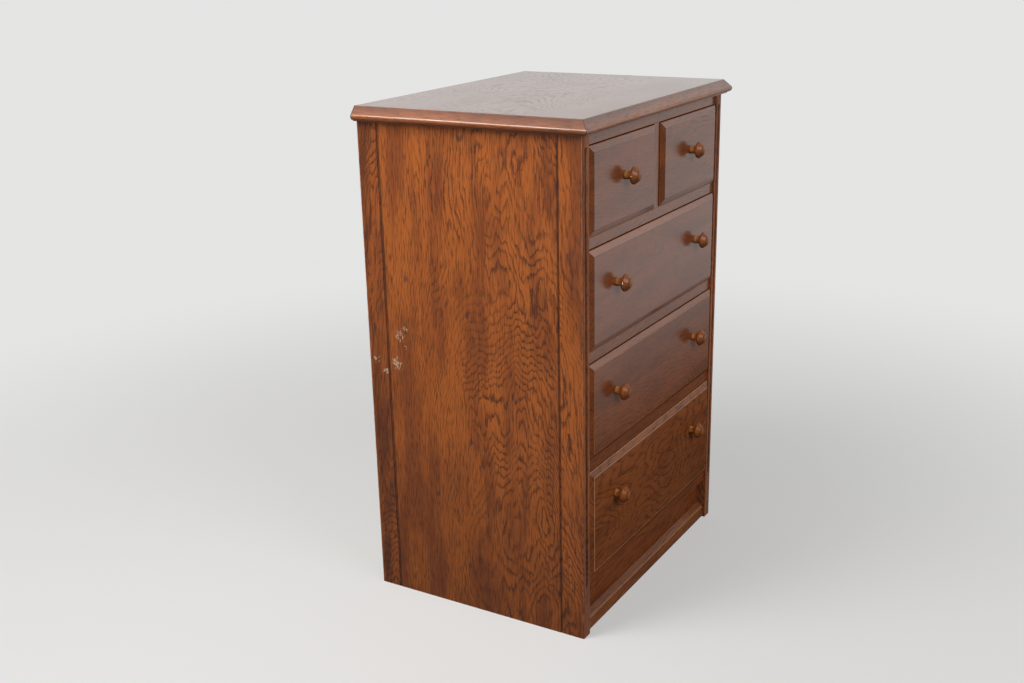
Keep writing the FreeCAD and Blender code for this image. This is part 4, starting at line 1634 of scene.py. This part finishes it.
@dataclass(frozen=True)
class Knob:
    """A turned knob: waisted neck, collar, head of two cones rounded at its widest, rim and domed face."""

    length: float = 30.0 * MM
    foot_radius: float = 8.6 * MM
    waist_radius: float = 7.9 * MM
    neck_length: float = 11.5 * MM
    neck_steps: int = 14
    collar_radius: float = 10.5 * MM
    collar_width: float = 0.5 * MM
    head_radius: float = 17.0 * MM
    head_steps: int = 16
    widest_at: float = 18.0 * MM
    rounding: float = 4.0 * MM
    face_radius: float = 10.2 * MM
    rim_height: float = 0.7 * MM
    rim_width: float = 0.9 * MM
    dome_height: float = 1.8 * MM
    dome_share: float = 0.8
    dome_steps: int = 8
    edge_round: float = 0.35 * MM
    centre_radius: float = 0.5 * MM
    segments: int = 56
    collar_shade_width: float = 1.3 * MM
    rim_shade_width: float = 0.5 * MM
    root_shade_width: float = 1.1 * MM
    thin_shade: float = 0.8

    def section(self) -> Array:
        """The knob's section from foot to face.

        The neck's radius follows a raised cosine. Straight lines from the collar and from the rim touch the
        circle that rounds the head at its widest, and the face is part of a sphere.

        Returns:
            Radius and distance to the front of each point.
        """
        turn = np.linspace(0.0, 2 * np.pi, self.neck_steps + 1)
        neck_radius = self.waist_radius + (self.foot_radius - self.waist_radius) / 2 * (1 + np.cos(turn))
        neck = np.stack((neck_radius, self.neck_length * turn / (2 * np.pi)), axis=1)
        collar_end = self.neck_length + self.collar_width
        dome_start = self.length - self.dome_height
        face_start = dome_start - self.rim_height
        dome_radius = self.face_radius - self.rim_width
        first_turn = self._touch(collar_end, self.collar_radius, -1)
        last_turn = self._touch(face_start, self.face_radius, 1)
        arc = np.linspace(first_turn, last_turn, self.head_steps + 1)
        arc_radius = self.head_radius - self.rounding + self.rounding * np.sin(arc)
        head = np.stack((arc_radius, self.widest_at + self.rounding * np.cos(arc)), axis=1)
        collar = rounded([
            Corner(self.foot_radius, self.neck_length),
            Corner(self.collar_radius, self.neck_length, self.edge_round / 2),
            Corner(self.collar_radius, collar_end, self.edge_round / 2),
            Corner(*head[0]),
        ], closed=False).points
        inner_radius = dome_radius * self.dome_share
        rim = rounded([
            Corner(*head[-1]),
            Corner(self.face_radius, face_start, self.edge_round),
            Corner(dome_radius, dome_start, self.edge_round),
            Corner(inner_radius, dome_start + self.dome_height * (1 - self.dome_share ** 2)),
        ], closed=False).points
        sphere = (dome_radius ** 2 + self.dome_height ** 2) / (2 * self.dome_height)
        radius = np.linspace(inner_radius, self.centre_radius, self.dome_steps + 1)
        dome = np.stack((radius, self.length - sphere + np.sqrt(sphere ** 2 - radius ** 2)), axis=1)
        return np.concatenate((neck[:-1], collar[:-1], head, rim[1:-1], dome))

    def _touch(self, out: float, radius: float, way: int) -> float:
        """The turn at which a straight line from a circle of the knob touches the head's rounding.

        Args:
            out: The circle's distance to the front.
            radius: Its radius.
            way: 1 for the line to the face, -1 for the line to the foot.

        Returns:
            The turn, from the line to the front.
        """
        along = out - self.widest_at
        rise = radius - self.head_radius + self.rounding
        spread = math.acos(self.rounding / math.hypot(along, rise))
        return (math.atan2(rise, along) + way * spread) % (2 * math.pi)

    def surface(self, foot: Place) -> Surface:
        """The knob, with painted shade at its foot, under its collar and round its face, and a brighter neck,
        partly rubbed and partly painted light.

        The painted shade falls off from each of these places along a bell curve, and the neck's brightening
        falls off evenly to the head's widest ring.

        Args:
            foot: The middle of the foot, on the drawer's field.

        Returns:
            The turned surface.
        """
        section = self.section()
        made = lathe(section, foot, self.segments)
        radius = np.repeat(section[:, 0], self.segments)
        out = np.repeat(section[:, 1], self.segments)
        dome_start = self.length - self.dome_height
        # Painted shade in rings at the collar, the rim and the foot.
        collar = np.exp(-((out - self.neck_length) / self.collar_shade_width) ** 2)
        ring = np.exp(-((out - dome_start) / self.rim_shade_width) ** 2)
        root = np.exp(-(out / self.root_shade_width) ** 2)
        thin = self.thin_shade * np.maximum(ring * (radius < self.face_radius), root)
        grime_and_shade = np.maximum(collar * (radius < self.collar_radius), thin)
        # Brighter neck: partly rubbed, partly painted light.
        rubbed = np.clip((self.widest_at - out) / (self.widest_at - self.neck_length), 0.0, 1.0)
        return replace(made, wear=rubbed, grime_and_shade=grime_and_shade)


@dataclass(frozen=True)
class Drawer:
    """A drawer: a front with a raised field, its turned knobs, and a dovetailed box."""

    name: str
    knobs: tuple[float, ...]
    shift: float
    heart: Span
    finish: Finish = FRONT_OAK
    field_wear: float = 0.4
    field_grime: float = 0.75
    bevel_width: float = 12.5 * MM
    bevel_depth: float = 6.0 * MM
    field_arris: float = 0.9 * MM
    field_edge: float = 8.0 * MM
    outer_arris: float = 0.7 * MM
    outer_wear: float = 0.7
    lap: float = 8.0 * MM
    tail_spacing: float = 42.0 * MM
    tail_slope: float = 1 / 6
    fewest_tails: int = 2
    pin_width: float = 11.0 * MM
    knob_heart: Span = (0.012, 0.008)

    @property
    def knob_node(self) -> str:
        """The name of the solid that stands for its knobs."""
        return self.name + ("_knobs" if len(self.knobs) > 1 else "_knob")

    def build(self) -> list[bpy.types.Object]:
        """Builds and dresses the front and the knobs, and dresses the box.

        Returns:
            The pieces.
        """
        low, high = extent(self.knob_node)
        knob_z = (low[2] + high[2]) / 2
        field_y = extent(self.name + "_front")[0][1]
        knobs = Surface.join([Knob().surface((x, field_y, knob_z)) for x in self.knobs])
        front_cut = Cut(Axis.X, Axis.Y, self.heart, self.shift)
        knob_cut = Cut(Axis.Y, Axis.Z, self.knob_heart, self.shift)
        box = {
            "_left_side": BOX_BOARD_DEEP,
            "_right_side": BOX_BOARD_DEEP,
            "_back": BOX_BOARD_ACROSS,
            "_bottom": PLY_ACROSS,
        }
        return [
            place_piece(self.name + "_front", self.front(), front_cut, self.finish),
            place_piece(self.knob_node, knobs, knob_cut, KNOB_WOOD),
            *(dress_solid(self.name + ending, finish) for ending, finish in box.items()),
        ]

    def front(self) -> Surface:
        """The front: a slab with the bevel and raised field, and behind it the block and pins of its joints.

        Returns:
            The front.
        """
        low, high = extent(self.name + "_front")
        field_y = low[1]
        lap_y = high[1] - self.lap
        section = rounded([
            Corner(0.0, lap_y),
            Corner(0.0, field_y + self.bevel_depth, self.outer_arris, self.outer_wear),
            Corner(self.bevel_width, field_y, self.field_arris, self.field_wear, self.field_grime),
            Corner(self.bevel_width + self.field_edge, field_y),
        ], closed=False)
        slab = frame_loops(low[[0, 2]], high[[0, 2]], (Axis.X, Axis.Z), Axis.Y, section)
        side_low, side_high = extent(self.name + "_left_side")
        inner = (side_high[0], extent(self.name + "_right_side")[0][0])
        behind = (lap_y, high[1])
        whole = np.array(((low[2], high[2]),))
        pins = self.pins((side_low[2], side_high[2]), (low[2], high[2]))
        return Surface.join((
            slab,
            wedges(inner, behind, whole, whole),
            wedges((low[0], inner[0]), behind, *pins),
            wedges((inner[1], high[0]), behind, *pins),
        ))

    def pins(self, side_span: Span, front_span: Span) -> list[Array]:
        """Levels of the pins that stand between the tails of a drawer side.

        The tails are evenly spaced over the side's height, and widen towards the front by the slope.

        Args:
            side_span: The side's lower and upper edge.
            front_span: The front's lower and upper edge.

        Returns:
            The lower and upper level of each pin, first at the lap and then at the shoulder.
        """
        height = side_span[1] - side_span[0]
        count = max(self.fewest_tails, round(height / self.tail_spacing))
        pitch = height / count
        shoulder_half = (pitch - self.pin_width) / 2
        lap_half = shoulder_half + self.lap * self.tail_slope
        middles = side_span[0] + pitch * (np.arange(count) + 0.5)
        levels = []
        for half in (lap_half, shoulder_half):
            lower = np.concatenate(([front_span[0]], middles + half))
            upper = np.concatenate((middles - half, [front_span[1]]))
            levels.append(np.stack((lower, upper), axis=1))
        return levels


@dataclass(frozen=True)
class Inside:
    """The pieces behind the front and inside the case, which keep their solids."""

    finishes: tuple[tuple[Finish, tuple[str, ...]], ...] = (
        (BOX_BOARD_DEEP, ("runners_bottom_row", "runners_third_row", "runners_second_row")),
        (BOX_BOARD_DEEP, ("runners_top_row", "drawer_guides", "drawer_stops")),
        (BOX_BOARD_ACROSS, ("back_rail_bottom", "back_rail_middle", "back_rail_top")),
        (PLY_ACROSS, ("bottom_panel",)),
        (PLY_UPRIGHT, ("back_panel",)),
        (STEEL, ("top_screws",)),
    )

    def build(self) -> list[bpy.types.Object]:
        """Dresses the inside pieces, and gives their objects."""
        return [dress_solid(node, finish) for finish, nodes in self.finishes for node in nodes]


# Studio

WARM = (1.0, 0.97, 0.93)
ROSE = (1.0, 0.6, 0.48)


@dataclass(frozen=True)
class SoftBox:
    """A large lamp that shines on one place."""

    name: str
    place: Place
    aim: Place
    width: float
    height: float
    power: float
    colour: Colour = (1.0, 1.0, 1.0)
    mirrored: bool = True
    lights: bool = True

    def build(self) -> bpy.types.Object:
        """Makes the lamp, unseen by the camera.

        Returns:
            The lamp.
        """
        lamp = bpy.data.lights.new(self.name, "AREA")
        lamp.shape = "RECTANGLE"
        lamp.size = self.width
        lamp.size_y = self.height
        lamp.energy = self.power
        lamp.color = self.colour
        holder = bpy.data.objects.new(self.name, lamp)
        holder.location = self.place
        towards = Vector(self.aim) - Vector(self.place)
        holder.rotation_euler = towards.to_track_quat("-Z", "Y").to_euler()
        holder.visible_camera = False
        holder.visible_glossy = self.mirrored
        holder.visible_diffuse = self.lights
        bpy.context.scene.collection.objects.link(holder)
        return holder


@dataclass(frozen=True)
class Studio:
    """A pale floor in a pale surround, soft lamps, and the camera at the photograph's angle."""

    camera_place: Place = (-2.2477, -1.2404, 1.3394)
    camera_heading: float = -1.0273
    camera_tilt: float = math.pi - 1.8878
    camera_roll: float = -0.0224
    lens_mm: float = 43.72
    floor_reach: float = 40.0
    floor_colour: Colour = (0.78, 0.775, 0.77)
    floor_bounce: Colour = (0.28, 0.25, 0.22)
    floor_fade: Step = Step(0.5, 2.6, 0.5, 1.0)
    surround_colour: Colour = (0.78, 0.78, 0.775)
    surround_light: Step = Step(0.0, 1.0, 0.28, 1.0)
    lamps: tuple[SoftBox, ...] = (
        SoftBox("key_lamp", (-1.0, 0.3, 2.2), (-0.3, 0.0, 0.9), 0.6, 1.2, 19.0, WARM, mirrored=False),
        SoftBox("window_lamp", (-1.74, 1.1, 2.0), (-0.3, 0.0, 0.9), 1.1, 1.3, 25.0, WARM, mirrored=False),
        SoftBox("gleam_lamp", (-1.62, 1.1, 2.36), (-0.34, 0.0, 1.0), 1.1, 0.8, 25.0, lights=False),
        SoftBox("left_lamp", (-3.5, -0.6, 0.6), (-0.1, -0.3, 0.6), 0.5, 0.8, 120.0, lights=False),
        SoftBox("right_lamp", (2.5, -1.95, 1.3), (0.0, -0.23, 0.8), 1.2, 0.9, 2.7, ROSE, lights=False),
        SoftBox("back_lamp", (3.4, 1.95, 1.5), (0.0, 0.0, 1.0), 3.0, 1.2, 1.6, lights=False),
        SoftBox("front_lamp", (-1.2, -3.8, 2.8), (0.0, 0.0, 0.5), 2.6, 2.6, 62.0),
    )

    def build(self) -> None:
        """Lays the floor, lights the surround and sets the camera."""
        self.floor()
        self.surround()
        for lamp in self.lamps:
            lamp.build()
        self.camera()

    def floor(self) -> None:
        """A wide plain floor that looks pale, fades into the surround and sends back less light."""
        reach = self.floor_reach
        corners = [(-reach, -reach, 0), (reach, -reach, 0), (reach, reach, 0), (-reach, reach, 0)]
        mesh = bpy.data.meshes.new("floor")
        mesh.from_pydata(corners, [], [(0, 1, 2, 3)])
        floor = bpy.data.objects.new("floor", mesh)
        bpy.context.scene.collection.objects.link(floor)
        material = bpy.data.materials.new("floor")
        material.use_nodes = True
        material.node_tree.nodes.clear()
        graph = Graph(material.node_tree)
        seen = self.seen(graph)
        colour = graph.mix(seen, self.floor_bounce, self.floor_colour)
        near = graph.add("ShaderNodeBsdfDiffuse", {"Color": colour})
        far = graph.add("ShaderNodeEmission", {"Color": self.surround_colour, "Strength": 1.0})
        away = graph.distance(graph.place(), (0.0, 0.0, 0.0))
        fade = graph.times(graph.ease(away, self.floor_fade), seen)
        shader = graph.add("ShaderNodeMixShader", {0: fade, 1: near.outputs[0], 2: far.outputs[0]})
        graph.add("ShaderNodeOutputMaterial", {"Surface": shader.outputs[0]})
        mesh.materials.append(material)

    @staticmethod
    def seen(graph: Graph) -> Socket:
        """Tells rays that see the studio from those that only carry its light.

        Args:
            graph: The graph of the floor or the surround.

        Returns:
            1 where a ray comes from the camera, a reflection or a glass, and 0 elsewhere.
        """
        rays = graph.add("ShaderNodeLightPath").outputs
        direct = graph.math("MAXIMUM", rays["Is Camera Ray"], rays["Is Glossy Ray"])
        return graph.math("MAXIMUM", direct, rays["Is Transmission Ray"])

    def surround(self) -> None:
        """A pale surround that lights the chest evenly from all sides."""
        world = bpy.data.worlds.new("surround")
        world.use_nodes = True
        world.node_tree.nodes.clear()
        graph = Graph(world.node_tree)
        strength = graph.ease(self.seen(graph), self.surround_light)
        shader = graph.add("ShaderNodeBackground", {"Color": self.surround_colour, "Strength": strength})
        graph.add("ShaderNodeOutputWorld", {"Surface": shader.outputs[0]})
        bpy.context.scene.world = world

    def camera(self) -> None:
        """The camera, turned about its own view by the roll, then tilted and turned to its heading."""
        data = bpy.data.cameras.new("camera")
        data.lens = self.lens_mm
        camera = bpy.data.objects.new("camera", data)
        turn = Matrix.Rotation(self.camera_heading, 4, "Z") @ Matrix.Rotation(self.camera_tilt, 4, "X")
        turn = turn @ Matrix.Rotation(self.camera_roll, 4, "Z")
        camera.matrix_world = Matrix.Translation(self.camera_place) @ turn
        bpy.context.scene.collection.objects.link(camera)
        bpy.context.scene.camera = camera
        bpy.context.scene.view_settings.view_transform = "Standard"


WIDE_KNOBS = (-0.190, 0.190)
LEFT_KNOB = (-0.155,)
RIGHT_KNOB = (0.155,)
RUBBED_FIELD = {"field_wear": 1.0, "field_grime": 0.0}


def main() -> None:
    """Builds the chest piece by piece, then the studio round it."""
    logging.basicConfig(level=logging.INFO, format="%(name)s: %(message)s")
    assemblies = (
        CaseSide(Side.LEFT),
        CaseSide(Side.RIGHT),
        Top(),
        FrontFrame(),
        Drawer("bottom_drawer", WIDE_KNOBS, 0.0, (0.25, 0.00), LOW_FRONT_OAK, **RUBBED_FIELD),
        Drawer("third_drawer", WIDE_KNOBS, 1.3, (0.25, -0.20), **RUBBED_FIELD),
        Drawer("second_drawer", WIDE_KNOBS, 2.9, (0.14, 0.28)),
        Drawer("top_left_drawer", LEFT_KNOB, 4.4, (0.14, -0.30)),
        Drawer("top_right_drawer", RIGHT_KNOB, 5.6, (0.25, 0.16)),
        Inside(),
    )
    for assembly in assemblies:
        for piece in assembly.build():
            log.info("%s: %s, %d faces", type(assembly).__name__, piece.name, len(piece.data.polygons))
    Studio().build()


if __name__ == "__main__":
    main()
